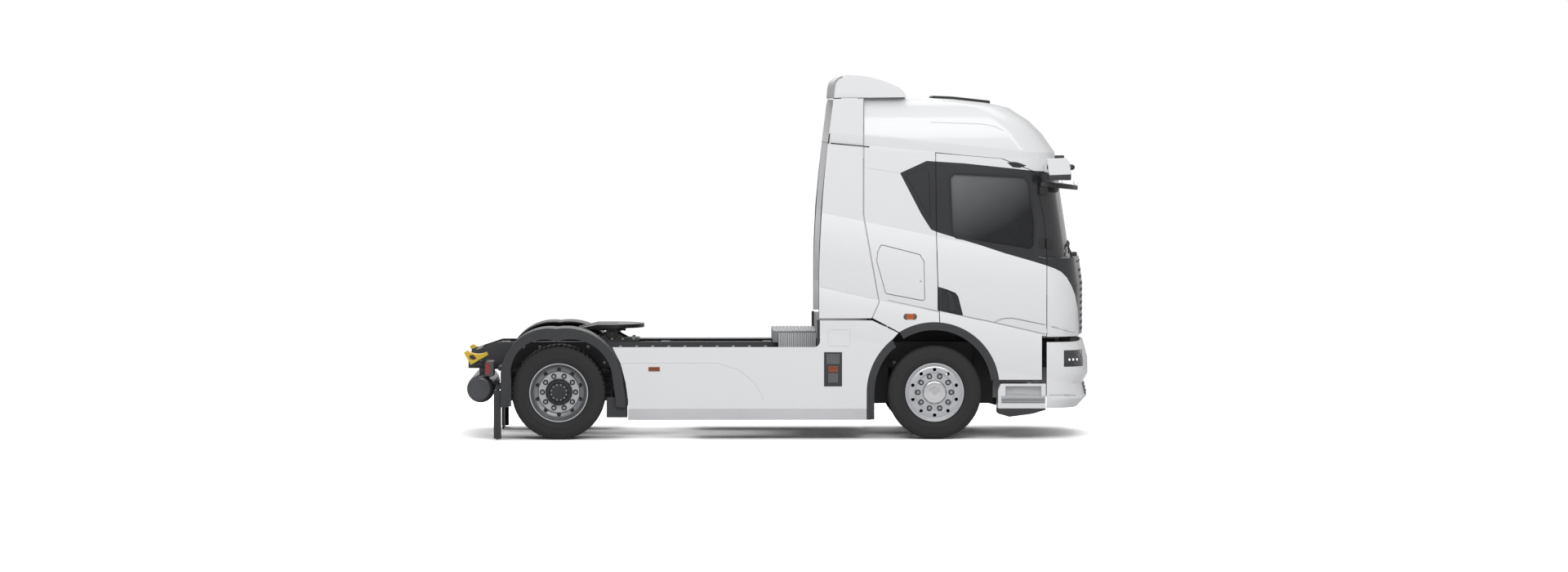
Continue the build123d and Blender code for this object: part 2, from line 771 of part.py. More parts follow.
with BuildPart() as front_guards:
    # front arch, the half that stays on the chassis
    with BuildSketch(side_plane(-body_half_width)):
        with BuildLine():
            outer_radius = skirt_arch_radius - seat_gap
            inner_radius = skirt_arch_radius - 44
            outer = ThreePointArc(*[arch_point(outer_radius, angle) for angle in (51, 26, 0)])
            Polyline(
                outer @ 1, (front_axle_x - outer_radius, skirt_bottom),
                (front_axle_x - inner_radius, skirt_bottom), arch_point(inner_radius, 0),
            )
            inner = ThreePointArc(*[arch_point(inner_radius, angle) for angle in (0, 26, 51)])
            Line(inner @ 1, outer @ 0)
        make_face()
    extrude(amount=700 - body_half_width)
    mirror(about=Plane.XZ)
front_guards.part.label = "front_guards"

# ------------------------------------------------------------ bumper, headlamps, steps
# height, front centre, half width of the bumper's skin
bumper_levels = (
    (bumper_bottom, bumper_front_x - 95, body_half_width - 30),
    (410.0, bumper_front_x - 10, body_half_width - 5),
    (560.0, bumper_front_x - 45, body_half_width - 5),
    (640.0, bumper_front_x, body_half_width),
    (800.0, bumper_front_x - 4, body_half_width),
    (bumper_top, bumper_front_x - 55, body_half_width),
)
lamp_front_x = 3085.0
lamp_rear_x = 2880.0
lamp_bottom = 735.0
lamp_top = 900.0
lamp_inner_y = 760.0


def bumper_block(inset):
    """The bumper's form, drawn in all round by an inset."""
    levels = [
        plan_outline(height, front - inset, half - inset, plan_rear_x)
        for height, front, half in bumper_levels
    ]
    with BuildPart() as block:
        add(loft(levels, ruled=True))
        split(bisect_by=Plane.YZ.offset(bumper_rear_x), keep=Keep.TOP)
    return block.part


def lamp_box(gap, side):
    """Space that one headlamp takes in the bumper's corner."""
    with BuildPart() as space:
        with Locations(
            (
                (lamp_front_x + lamp_rear_x) / 2,
                side * (lamp_inner_y + body_half_width + 50) / 2,
                (lamp_bottom + lamp_top) / 2,
            )
        ):
            Box(
                lamp_front_x - lamp_rear_x + 2 * gap,
                body_half_width + 50 - lamp_inner_y + 2 * gap,
                lamp_top - lamp_bottom + 2 * gap,
            )
    return space.part


with BuildPart() as bumper:
    add(bumper_block(0))
    add(bumper_block(bumper_wall), mode=Mode.SUBTRACT)
    for side in (1, -1):
        add(lamp_box(seat_gap, side), mode=Mode.SUBTRACT)
    # arms back to the rails
    for side in (1, -1):
        with Locations((2998, side * 330, rail_bottom + rail_thickness + bumper_arm_height / 2)):
            Box(334, 60, bumper_arm_height)
bumper.part.label = "bumper"

with BuildPart() as headlamps:
    add(bumper_block(1))
    add(bumper_block(bumper_wall + 60), mode=Mode.SUBTRACT)
    lamp_room = Part() + [lamp_box(0, 1), lamp_box(0, -1)]
    add(lamp_room, mode=Mode.INTERSECT)
headlamps.part.label = "headlamps"

step_inner_y = 900.0
with BuildPart() as entry_steps:
    with BuildSketch(side_plane(-body_half_width + 5)):
        with BuildLine():
            Polyline(
                (2214, 500), (2240, 565), (2697, 565), (2697, 300), (2560, 260), (2330, 230),
                (2214, 262), close=True,
            )
        make_face()
        with Locations((2470, 485)):
            Rectangle(360, 110, mode=Mode.SUBTRACT)
    extrude(amount=step_inner_y - body_half_width + 5)
    with Locations((2470, -step_inner_y - 15, 485)):
        Box(360, 30, 110)
    # carrier arm to the rail
    with Locations((2600, -(rail_half_gap + step_inner_y) / 2, 700)):
        Box(70, step_inner_y - rail_half_gap, 60)
    with Locations((2600, -step_inner_y + 10, 640)):
        Box(70, 60, 180)
    mirror(about=Plane.XZ)
entry_steps.part.label = "entry_steps"

# ------------------------------------------------------------ cab shell
# height, front centre, half width of the outer skin
cab_levels = (
    (560.0, 3136.0, body_half_width),
    (1560.0, 3136.0, body_half_width),
    (1830.0, 3102.0, body_half_width),
    (1850.0, 3010.0, body_half_width),
    (2900.0, 2850.0, body_half_width - 8),
    (3088.0, 2717.0, body_half_width - 20),
    (3220.0, 2583.0, body_half_width - 40),
    (3352.0, 2374.0, body_half_width - 80),
    (3400.0, 2165.0, body_half_width - 120),
    (3440.0, 1800.0, body_half_width - 190),
    (3455.0, 1400.0, body_half_width - 260),
)


def skin_at(height):
    """Front centre and half width of the outer skin at a height."""
    for (low, front_low, half_low), (high, front_high, half_high) in zip(cab_levels, cab_levels[1:]):
        if low <= height <= high:
            share = (height - low) / (high - low)
            return (
                front_low + share * (front_high - front_low),
                half_low + share * (half_high - half_low),
            )


# height, front centre, half width of the space inside
cabin_levels = (
    (floor_top, firewall_x, body_half_width - cab_wall),
    (1870.0, firewall_x, body_half_width - cab_wall),
    (1910.0, 2938.0, body_half_width - cab_wall),
    (2900.0, 2788.0, body_half_width - cab_wall - 8),
    (3088.0, 2650.0, body_half_width - cab_wall - 25),
    (3220.0, 2505.0, body_half_width - cab_wall - 60),
    (3340.0, 2250.0, body_half_width - cab_wall - 130),
    (3385.0, 1700.0, body_half_width - cab_wall - 260),
)
cab_outer = loft(
    [plan_outline(height, front, half, cab_rear_x) for height, front, half in cab_levels],
    ruled=True,
)
# the same form a seat's gap larger, for what rests on the skin
cab_clear = loft(
    [
        plan_outline(height, front + seat_gap, half + seat_gap, cab_rear_x)
        for height, front, half in cab_levels
    ],
    ruled=True,
)
cabin_space = loft(
    [
        plan_outline(height, front, half, cab_rear_x + cab_wall)
        for height, front, half in cabin_levels
    ],
    ruled=True,
)
under_floor = side_prism(
    (
        (cab_rear_x + cab_wall, 500), (cab_rear_x + cab_wall, floor_top - floor_thickness),
        (firewall_x, floor_top - floor_thickness), (firewall_x, 500),
    ),
    -body_half_width + cab_wall,
    body_half_width - cab_wall,
)
# the side deflectors' front edge, which laps over the cab's side low down
deflector_wall = 35.0
deflector_bottom = 1228.0
deflector_seam = ((845, 2900), (845, 2263), (1007, 1389), (933, deflector_bottom))
lap_cut_points = (
    (cab_rear_x - 1, 2263), (cab_rear_x, 2263), (1007 + running_gap, 1389),
    (933 + running_gap, deflector_bottom - 10), (cab_rear_x - 1, deflector_bottom - 10),
)
lower_cut_points = ((300, 400), (300, 1232), (941, 1232))
lower_arch = front_arch(arch_radius + seat_gap)
with BuildPart() as lower_cut:
    with BuildSketch(side_plane(-body_half_width - 50)):
        with BuildLine():
            Polyline(*lower_cut_points, lower_arch[0])
            ThreePointArc(*lower_arch)
            Polyline(
                lower_arch[2], (2655, door_bottom), (2655, cab_bottom_front),
                (3400, cab_bottom_front), (3400, 400), (300, 400),
            )
        make_face()
    extrude(amount=-2 * body_half_width - 100)

# pocket behind the front lid, and the lid itself
lid_half_width = 900.0
lid_bottom = cab_bottom_front + 12
lid_top = 1780.0
lid_hinge_gap = 20.0
lid_hinge_x = 3104.0
lid_knuckle_y = 120.0
lid_hinge_z = lid_top + lid_hinge_gap / 2
lid_knuckle_radius = 7.0
lid_knuckle_length = 40.0
lid_wall = 40.0
pocket_rear_x = 2900.0


def lid_knuckle(y_from, web_low, web_high):
    """Hinge barrel of the front lid with the web that carries it."""
    with BuildPart() as barrel:
        with BuildSketch(side_plane(y_from)):
            with Locations((lid_hinge_x, lid_hinge_z)):
                Circle(lid_knuckle_radius)
            with Locations((lid_hinge_x - 3, (web_low + web_high) / 2)):
                Rectangle(6, web_high - web_low)
        extrude(amount=-lid_knuckle_length)
    return barrel.part


with BuildPart() as lid_pocket:
    add(
        loft(
            [
                plan_outline(1000, 3136 - lid_wall, body_half_width - lid_wall, plan_rear_x),
                plan_outline(1560, 3136 - lid_wall, body_half_width - lid_wall, plan_rear_x),
                plan_outline(1770, 3110 - lid_wall, body_half_width - lid_wall, plan_rear_x),
            ],
            ruled=True,
        )
    )
    with Locations((pocket_rear_x + 200, 0, 1430)):
        Box(400, 2 * lid_half_width, 900, mode=Mode.INTERSECT)
opening_bottom = cab_bottom_front - 20
opening_top = lid_top + lid_hinge_gap
with BuildPart() as lid_opening:
    with Locations((pocket_rear_x + 200, 0, (opening_bottom + opening_top) / 2)):
        Box(400, 2 * lid_half_width + 2 * running_gap, opening_top - opening_bottom)
with BuildPart() as front_lid:
    add(cab_outer)
    with Locations((3100, 0, (lid_bottom + lid_top) / 2)):
        Box(240, 2 * lid_half_width, lid_top - lid_bottom, mode=Mode.INTERSECT)
    add(lid_pocket.part, mode=Mode.SUBTRACT)
    for knuckle_y in (lid_knuckle_y, -lid_knuckle_y - lid_knuckle_length):
        add(lid_knuckle(knuckle_y, lid_top - 5, lid_hinge_z))
front_lid.part.label = "front_lid"

# ------------------------------------------------------------ doors and their outlines
door_outline = (
    (1633, 1100), (1608, 1554), (1592, 2098), (1584, 2893), (1864, 2868), (2243, 2836),
    (2577, 2704), (2622, 2477), (2672, 2230), (2701, 1867), (2701, 1050), (2655, 1050),
    (2655, door_bottom), (2100, door_bottom),
)
glass_outline = (
    (1749, 2050), (1722, 2685), (2508, 2648), (2578, 2205), (2573, 1912), (2029, 1999),
)
glass_corner = 45.0
handle_outline = ((1645, 1536), (1782, 1480), (1806, 1447), (1856, 1257), (1645, 1303))
handle_depth = 40.0
with BuildPart() as door_glass_left:
    with BuildSketch(side_plane(body_half_width - 40)):
        with BuildLine():
            Polyline(*glass_outline, close=True)
        make_face()
        fillet(vertices(), radius=glass_corner)
        offset(amount=-seat_gap)
    extrude(amount=-10)
with BuildPart() as glass_hole:
    with BuildSketch(side_plane(body_half_width - 150)):
        with BuildLine():
            Polyline(*glass_outline, close=True)
        make_face()
        fillet(vertices(), radius=glass_corner)
    extrude(amount=-250)
with BuildPart() as door_opening:
    with BuildSketch(side_plane(body_half_width - cab_wall)):
        with BuildLine():
            Polyline(*door_outline, close=True)
        make_face()
        offset(amount=running_gap, kind=Kind.INTERSECTION)
    extrude(amount=-cab_wall - 20)
    with BuildSketch(side_plane(body_half_width - cab_wall - 90)):
        with BuildLine():
            Polyline(*door_outline, close=True)
        make_face()
        offset(amount=-45, kind=Kind.INTERSECTION)
    extrude(amount=-120)
with BuildPart() as door_blank:
    with BuildSketch(side_plane(body_half_width - cab_wall + 0.5)):
        with BuildLine():
            Polyline(*door_outline, close=True)
        make_face()
    extrude(amount=-cab_wall - 20)
with BuildPart() as door_left:
    add(cab_outer)
    add(door_blank.part, mode=Mode.INTERSECT)
    add(lower_cut.part, mode=Mode.SUBTRACT)
    add(glass_hole.part, mode=Mode.SUBTRACT)
    # pocket with the pull handle across it
    with BuildSketch(side_plane(body_half_width - handle_depth)):
        with BuildLine():
            Polyline(*handle_outline, close=True)
        make_face()
    extrude(amount=-handle_depth - 20, mode=Mode.SUBTRACT)
    with BuildSketch(side_plane(body_half_width - handle_depth)):
        with BuildLine():
            Polyline((1700, 1508), (1735, 1496), (1760, 1290), (1722, 1302), close=True)
        make_face()
    extrude(amount=-handle_depth + 6)
door_left.part.label = "door_left"
door_glass_left.part.label = "door_glass_left"

# ------------------------------------------------------------ locker lids
lid_thickness = 30.0
locker_corner = 22.0
locker_outline = (
    (1031, 1966), (1419, 1867), (1460, 1801), (1468, 1406), (1081, 1480), (990, 1801), (998, 1892),
)
with BuildPart() as locker_opening:
    with BuildSketch(side_plane(body_half_width - cab_wall - 30)):
        with BuildLine():
            Polyline(*locker_outline, close=True)
        make_face()
        offset(amount=-40, kind=Kind.INTERSECTION)
    extrude(amount=-150)
    with BuildSketch(side_plane(body_half_width - lid_thickness - seat_gap)):
        with BuildLine():
            Polyline(*locker_outline, close=True)
        make_face()
        fillet(vertices(), radius=locker_corner)
        offset(amount=running_gap)
    extrude(amount=-100)
with BuildPart() as locker_lid_left:
    with BuildSketch(side_plane(body_half_width - lid_thickness)):
        with BuildLine():
            Polyline(*locker_outline, close=True)
        make_face()
        fillet(vertices(), radius=locker_corner)
    extrude(amount=-lid_thickness)
locker_lid_left.part.label = "locker_lid_left"

# ------------------------------------------------------------ windscreen
screen_bottom = 1915.0
screen_top = 2560.0
screen_half_top = 1020.0
screen_half_bottom = 1060.0


def screen_prism(margin):
    """Front-view outline of the windscreen, run back through the cab's front."""
    with BuildPart() as prism:
        with BuildSketch(Plane.YZ.offset(2450)):
            with BuildLine():
                Polyline(
                    (-screen_half_bottom - margin, screen_bottom - margin),
                    (screen_half_bottom + margin, screen_bottom - margin),
                    (screen_half_top + margin, screen_top + margin),
                    (-screen_half_top - margin, screen_top + margin),
                    close=True,
                )
            make_face()
        extrude(amount=800)
    return prism.part


def screen_sheet(depth):
    """Cab front between two levels, set back by a depth."""
    return loft(
        [
            plan_outline(1850, 3010 - depth, body_half_width - depth, plan_rear_x),
            plan_outline(2900, 2850 - depth, body_half_width - 8 - depth, plan_rear_x),
        ],
        ruled=True,
    )


with BuildPart() as windscreen:
    add(screen_sheet(6))
    add(screen_sheet(20), mode=Mode.SUBTRACT)
    add(screen_prism(-seat_gap), mode=Mode.INTERSECT)
windscreen.part.label = "windscreen"

# ------------------------------------------------------------ cab body and roof
roof_seam = (
    (300, 3020), (833, 2972), (1204, 2939), (1617, 2898), (1864, 2873), (2243, 2840),
    (2600, 2840), (3400, 2840), (3400, 3700), (300, 3700),
)
roof_zone = side_prism(roof_seam, -body_half_width - 50, body_half_width + 50)
sill_inner_y = 1000.0
sill_outer_y = body_half_width - cab_wall
floor_bottom = floor_top - floor_thickness
# the flat pan between the walls
floor_zone = side_prism(
    (
        (cab_rear_x + cab_wall, floor_bottom), (cab_rear_x + cab_wall, floor_top),
        (firewall_x, floor_top), (firewall_x, floor_bottom),
    ),
    -sill_outer_y,
    sill_outer_y,
)
with BuildPart() as cab_shell:
    add(cab_outer)
    add(cabin_space, mode=Mode.SUBTRACT)
    add(under_floor, mode=Mode.SUBTRACT)
    add(lower_cut.part, mode=Mode.SUBTRACT)
    add(lid_pocket.part, mode=Mode.SUBTRACT)
    add(lid_opening.part, mode=Mode.SUBTRACT)
    add(screen_prism(0), mode=Mode.SUBTRACT)
with BuildPart() as lap_cut:
    with BuildSketch(side_plane(body_half_width - deflector_wall - seat_gap)):
        with BuildLine():
            Polyline(*lap_cut_points, close=True)
        make_face()
    extrude(amount=-deflector_wall - 50)
# the walls behind the doors, up to the roof's seam
panel_front_x = 1560.0
panel_inner_y = body_half_width - cab_wall - 40
with BuildPart() as panel_zone:
    for y_from, y_to in ((-body_half_width - 5, -panel_inner_y), (panel_inner_y, body_half_width + 5)):
        with BuildSketch(side_plane(y_from)):
            with BuildLine():
                Polyline(
                    (cab_rear_x - 1, 500), (panel_front_x, 500), (panel_front_x, 3100),
                    (cab_rear_x - 1, 3100), close=True,
                )
            make_face()
        extrude(amount=y_from - y_to)
with BuildPart() as rear_zone:
    with Locations((cab_rear_x + cab_wall / 2 - 1, 0, (floor_bottom + 3100) / 2)):
        Box(cab_wall + 2, 2 * panel_inner_y, 4000 - floor_bottom)
with BuildPart() as cab_body:
    add(cab_shell.part)
    add(roof_zone, mode=Mode.SUBTRACT)
    add(door_opening.part, mode=Mode.SUBTRACT)
    add(mirror(door_opening.part, about=Plane.XZ, mode=Mode.PRIVATE), mode=Mode.SUBTRACT)
    for knuckle_y in (
        lid_knuckle_y + lid_knuckle_length + seat_gap,
        -lid_knuckle_y - 2 * lid_knuckle_length - seat_gap,
    ):
        add(lid_knuckle(knuckle_y, lid_hinge_z, opening_top + 5))
    # hinge lugs on the tilt pivots
    for side in (1, -1):
        with BuildSketch(side_plane(side * 330 - 25)):
            with BuildLine():
                Polyline(
                    (tilt_x - 45, tilt_z), (tilt_x + 45, tilt_z), (2880, 1420), (2760, 1420),
                    close=True,
                )
            make_face()
            with Locations((tilt_x, tilt_z)):
                Circle(45)
                Circle(25 + pin_gap, mode=Mode.SUBTRACT)
        extrude(amount=-50)
    add(floor_zone, mode=Mode.SUBTRACT)
    add(panel_zone.part, mode=Mode.SUBTRACT)
    add(rear_zone.part, mode=Mode.SUBTRACT)
with BuildPart() as cab_rear_wall:
    add(cab_shell.part)
    add(roof_zone, mode=Mode.SUBTRACT)
    add(rear_zone.part, mode=Mode.INTERSECT)
cab_rear_wall.part.label = "cab_rear_wall"
with BuildPart() as cab_side_panels:
    add(cab_shell.part)
    add(roof_zone, mode=Mode.SUBTRACT)
    for opening in (locker_opening, lap_cut):
        add(opening.part, mode=Mode.SUBTRACT)
        add(mirror(opening.part, about=Plane.XZ, mode=Mode.PRIVATE), mode=Mode.SUBTRACT)
    add(panel_zone.part, mode=Mode.INTERSECT)
    add(floor_zone, mode=Mode.SUBTRACT)
cab_side_panels.part.label = "cab_side_panels"
with BuildPart() as cab_floor:
    add(cab_shell.part)
    add(floor_zone, mode=Mode.INTERSECT)
    # boxed sills over the wheel arches
    for y_from, y_to in ((-sill_outer_y, -sill_inner_y), (sill_inner_y, sill_outer_y)):
        with BuildSketch(side_plane(y_from)):
            with BuildLine():
                Line((lower_arch[0][0], floor_bottom), lower_arch[0])
                ThreePointArc(*lower_arch)
                Line(lower_arch[2], (lower_arch[2][0], floor_bottom))
                Line((lower_arch[2][0], floor_bottom), (lower_arch[0][0], floor_bottom))
            make_face()
        extrude(amount=y_from - y_to)
cab_floor.part.label = "cab_floor"
with BuildPart() as cab_roof:
    add(cab_shell.part)
    add(roof_zone, mode=Mode.INTERSECT)
cab_body.part.label = "cab_body"
cab_roof.part.label = "cab_roof"

with BuildPart() as arch_trims:
    with BuildSketch(side_plane(-body_half_width)):
        with BuildLine():
            outer = ThreePointArc(*front_arch(arch_radius))
            inner = ThreePointArc(*reversed(front_arch(arch_radius - arch_trim_depth)))
            Line(outer @ 1, inner @ 0)
            Line(inner @ 1, outer @ 0)
        make_face()
    extrude(amount=1000 - body_half_width)
    mirror(about=Plane.XZ)
arch_trims.part.label = "arch_trims"

# ------------------------------------------------------------ roof spoiler, side deflectors
spoiler_half_width = body_half_width - 65
spoiler_top = 3680.0
spoiler_crest_x = 700.0
with BuildPart() as roof_spoiler:
    with BuildSketch(side_plane(-spoiler_half_width)):
        with BuildLine():
            Line((545, 3450), (561, 3600))
            TangentArc((spoiler_crest_x, spoiler_top), (561, 3600), tangent=(-1, 0))
            TangentArc((spoiler_crest_x, spoiler_top), (1190, 3565), tangent=(1, 0))
            ThreePointArc((1190, 3565), (1255, 3520), (1287, 3455 + seat_gap))
            Polyline((1287, 3455 + seat_gap), (1200, 3455 + seat_gap), (545, 3450))
        make_face()
    extrude(amount=-2 * spoiler_half_width)
    with BuildSketch(side_plane(-spoiler_half_width + 30)):
        with BuildLine():
            Line((500, 3400), (500, 3600))
            Line((500, 3600), (600, 3630))
            ThreePointArc((600, 3630), (925, 3622), (1165, 3532))
            ThreePointArc((1165, 3532), (1215, 3500), (1240, 3456))
            Polyline((1240, 3456), (1240, 3400), (500, 3400))
        make_face()
    extrude(amount=-2 * spoiler_half_width + 60, mode=Mode.SUBTRACT)
roof_spoiler.part.label = "roof_spoiler"

with BuildPart() as side_deflectors:
    with BuildSketch(side_plane(-body_half_width)):
        with BuildLine():
            Line((405, deflector_bottom), (405, 1700))
            ThreePointArc((405, 1700), (462, 2692), (550, 3440))
            Polyline((550, 3440), (850, 3440), *deflector_seam, (405, deflector_bottom))
        make_face()
    extrude(amount=-deflector_wall)
    for level in (1500, 2200, 2900):
        with Locations((816, -body_half_width + 62, level)):
            Box(2 * (cab_rear_x - seat_gap - 816), 60, 120)
    mirror(about=Plane.XZ)
side_deflectors.part.label = "side_deflectors"

# ------------------------------------------------------------ sun visor and camera pods
visor_reach = 190.0
visor_z = 2562.0
visor_thickness = 28.0
visor_rear_x = 2640.0
visor_overhang = 10.0
with BuildPart() as sun_visor:
    with BuildSketch(Plane.XY.offset(visor_z)):
        visor_front, visor_half = skin_at(visor_z)
        add(
            plan_outline(
                visor_z, visor_front + visor_reach, body_half_width + visor_overhang, plan_rear_x
            )
        )
    extrude(amount=visor_thickness)
    add(cab_clear, mode=Mode.SUBTRACT)
    split(bisect_by=Plane.YZ.offset(visor_rear_x), keep=Keep.TOP)
sun_visor.part.label = "sun_visor"

pod_reach = 235.0
with BuildPart() as camera_pods:
    with BuildSketch(side_plane(-body_half_width - pod_reach)):
        with BuildLine():
            Polyline(
                (2712, 2672), (2688, 2838), (2880, 2846), (2915, 2800), (2938, 2680), close=True
            )
        make_face()
        fillet(vertices(), radius=14)
    extrude(amount=-pod_reach - 3)
    # arm in to the pillar
    with Locations((2730, -body_half_width + 80, 2740)):
        Box(100, 190, 80)
    add(cab_clear, mode=Mode.SUBTRACT)
    mirror(about=Plane.XZ)
camera_pods.part.label = "camera_pods"

# ------------------------------------------------------------ cabin fittings
seat_y = 640.0
cushion_z = floor_top + 350
bunk_x = 1240.0
bunk_base_depth = 600.0
bunk_base_width = 2 * (body_half_width - cab_wall) - 70
bunk_base_height = 492.0
locker_wall = 25.0
locker_reach = 450.0
with BuildPart() as seats_and_bunk:
    for side in (1, -1):
        with BuildSketch(side_plane(side * seat_y - 250)):
            with BuildLine():
                Polyline(
                    (1860, cushion_z), (2330, cushion_z + 10), (2330, cushion_z + 130),
                    (2010, cushion_z + 110), (1850, cushion_z + 770), (1710, cushion_z + 750),
                    (1820, cushion_z), close=True,
                )
            make_face()
            fillet(vertices(), radius=40)
        extrude(amount=-500)
    with Locations((bunk_x, 0, floor_top + bunk_base_height + 2 * seat_gap + 75)):
        Box(560, bunk_base_width - 50, 150)
seats_and_bunk.part.label = "seats_and_bunk"

with BuildPart() as seat_bases:
    for side in (1, -1):
        with Locations((2080, side * seat_y, (floor_top + cushion_z) / 2)):
            Box(380, 360, cushion_z - floor_top - 2 * seat_gap)
with BuildPart() as bunk_base:
    with Locations((bunk_x, 0, floor_top + seat_gap + bunk_base_height / 2)):
        Box(bunk_base_depth, bunk_base_width, bunk_base_height)
        # a luggage locker at each end, reached from outside
        with GridLocations(1, bunk_base_width, 1, 2):
            Box(
                bunk_base_depth - 2 * locker_wall, 2 * locker_reach,
                bunk_base_height - 2 * locker_wall, mode=Mode.SUBTRACT,
            )
bunk_base.part.label = "bunk_base"

with BuildPart() as cab_interior:
    dash_half_width = body_half_width - cab_wall - 35
    with BuildSketch(side_plane(-dash_half_width)):
        with BuildLine():
            Polyline(
                (2520, 1880), (2560, 1960), (2740, 2010), (2829, 1980), (2829, 1600), (2640, 1600),
                close=True,
            )
        make_face()
    extrude(amount=-2 * dash_half_width)
    with BuildSketch(Plane.XY.offset(1590)):
        add(plan_outline(1590, firewall_x - seat_gap, body_half_width - cab_wall - 10, 2200))
    extrude(amount=450, mode=Mode.INTERSECT)
    # steering column and wheel
    wheel_plane = Plane(origin=(2400, seat_y, 2120), x_dir=(0, 1, 0), z_dir=(-0.5, 0, 0.87))
    with BuildSketch(wheel_plane.offset(-260)):
        Circle(38)
    extrude(amount=280)
    with BuildSketch(wheel_plane.offset(-15)):
        Circle(225)
        Circle(195, mode=Mode.SUBTRACT)
        Rectangle(400, 50)
    extrude(amount=30)
    add(seat_bases.part)
cab_interior.part.label = "cab_interior"

# ------------------------------------------------------------ brackets on the frame
with BuildPart() as frame_brackets:
    for side in (1, -1):
        for plate_y in (side * 330 - 47, side * 330 + 31):
            with BuildSketch(side_plane(plate_y)):
                with BuildLine():
                    Polyline(
                        (tilt_x - 40, tilt_z), (tilt_x + 20, tilt_z), (2970, rail_top - 200),
                        (rail_front_x + seat_gap, rail_top - 200), close=True,
                    )
                make_face()
                with Locations((tilt_x, tilt_z)):
                    Circle(40)
            extrude(amount=-16)
        with BuildSketch(side_plane(side * 330 - 47)):
            with Locations((tilt_x, tilt_z)):
                Circle(25)
        extrude(amount=-94)
    # rear support under the cab's back
    for side in (1, -1):
        with Locations((1000, side * 380, (rail_top + floor_top - floor_thickness) / 2)):
            Box(120, 90, floor_top - floor_thickness - rail_top - 2 * seat_gap)
    # holders for the wheel chocks
    for side in (1, -1):
        holder_plane = Plane(
            origin=(chock_x, side * chock_y + 80, chock_z),
            x_dir=(cos(radians(chock_angle)), 0, sin(radians(chock_angle))),
            z_dir=(0, -1, 0),
        )
        with BuildSketch(holder_plane):
            with Locations((0, -60 - seat_gap - 4)):
                Rectangle(200, 8)
        extrude(amount=160)
        with Locations((chock_x + 28.4, side * (rail_half_gap + chock_y) / 2, chock_z - 93)):
            Box(50, chock_y - rail_half_gap, 44)
frame_brackets.part.label = "frame_brackets"

# ------------------------------------------------------------ mirrored pieces and files
pieces = [
    lamps, wheel_chocks, all_tanks, front_axle, front_springs,
    knuckle_left, knuckle_right, tie_rod, rear_axle, air_bellows, engine, side_skirts,
    catwalk, fifth_wheel_base, fifth_wheel_plate, kingpin_jaw, wheel_guards, bumper,
    headlamps, entry_steps, front_lid, door_left, door_glass_left, locker_lid_left,
    windscreen, cab_body, cab_roof, arch_trims, roof_spoiler, side_deflectors, sun_visor,
    camera_pods, seats_and_bunk, cab_interior, frame_rails, cross_members, frame_brackets,
    cab_floor, cab_side_panels, cab_rear_wall, bunk_base, front_guards,
]
for piece in (door_left, door_glass_left, locker_lid_left):
    with BuildPart() as other_side:
        mirror(piece.part, about=Plane.XZ)
    other_side.part.label = piece.part.label.replace("left", "right")
    pieces.append(other_side)
for name, wheel in wheel_pairs:
    wheel.part.label = f"{name}_left"
    with BuildPart() as other_side:
        mirror(wheel.part, about=Plane.XZ)
    other_side.part.label = f"{name}_right"
    pieces += [wheel, other_side]

for piece in pieces:
    export_step(piece.part, f"parts/{piece.part.label}.step")
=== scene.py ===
import json
from math import cos, pi, radians, sin

import bmesh
import bpy
from mathutils import Matrix, Vector
from mathutils.bvhtree import BVHTree

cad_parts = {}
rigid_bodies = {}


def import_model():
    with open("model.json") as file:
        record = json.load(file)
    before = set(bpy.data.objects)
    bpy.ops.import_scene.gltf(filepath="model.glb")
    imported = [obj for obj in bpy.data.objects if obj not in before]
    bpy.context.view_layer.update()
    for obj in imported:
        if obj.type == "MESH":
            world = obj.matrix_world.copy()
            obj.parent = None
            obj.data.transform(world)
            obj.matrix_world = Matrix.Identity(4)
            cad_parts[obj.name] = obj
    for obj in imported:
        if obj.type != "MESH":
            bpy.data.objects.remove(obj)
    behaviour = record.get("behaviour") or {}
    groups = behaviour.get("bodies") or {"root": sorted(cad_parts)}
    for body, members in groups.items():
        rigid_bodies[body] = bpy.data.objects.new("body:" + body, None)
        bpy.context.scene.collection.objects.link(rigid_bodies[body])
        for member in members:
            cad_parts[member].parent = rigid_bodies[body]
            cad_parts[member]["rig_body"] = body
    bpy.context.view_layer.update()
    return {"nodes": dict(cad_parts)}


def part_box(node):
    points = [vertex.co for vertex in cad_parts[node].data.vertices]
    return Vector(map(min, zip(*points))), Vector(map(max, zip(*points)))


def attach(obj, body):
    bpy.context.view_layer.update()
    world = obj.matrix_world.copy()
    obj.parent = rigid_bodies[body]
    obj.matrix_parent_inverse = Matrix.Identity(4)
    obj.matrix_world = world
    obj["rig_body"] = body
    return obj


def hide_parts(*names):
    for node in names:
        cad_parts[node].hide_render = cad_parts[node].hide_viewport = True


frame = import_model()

# ---------------------------------------------------------------- studio
# A white cyclorama with a matt floor, a large softbox overhead and one on each long side.
# The lorry stands parked, seen square from its right side with a long lens.


class Wire:
    """A node's socket that can stand in a sum: the sum adds Math nodes to the same tree."""

    def __init__(self, nodes, socket):
        self.nodes = nodes
        self.socket = socket

    def math(self, operation, first, second):
        return self.nodes.add("ShaderNodeMath", {"operation": operation}, {0: first, 1: second})

    def __add__(self, other):
        return self.math("ADD", self, other)

    def __radd__(self, other):
        return self.math("ADD", other, self)

    def __sub__(self, other):
        return self.math("SUBTRACT", self, other)

    def __rsub__(self, other):
        return self.math("SUBTRACT", other, self)

    def __mul__(self, other):
        return self.math("MULTIPLY", self, other)

    def __rmul__(self, other):
        return self.math("MULTIPLY", other, self)

    def __truediv__(self, other):
        return self.math("DIVIDE", self, other)

    def __rtruediv__(self, other):
        return self.math("DIVIDE", other, self)

    def __gt__(self, other):
        return self.math("GREATER_THAN", self, other)

    def __lt__(self, other):
        return self.math("LESS_THAN", self, other)


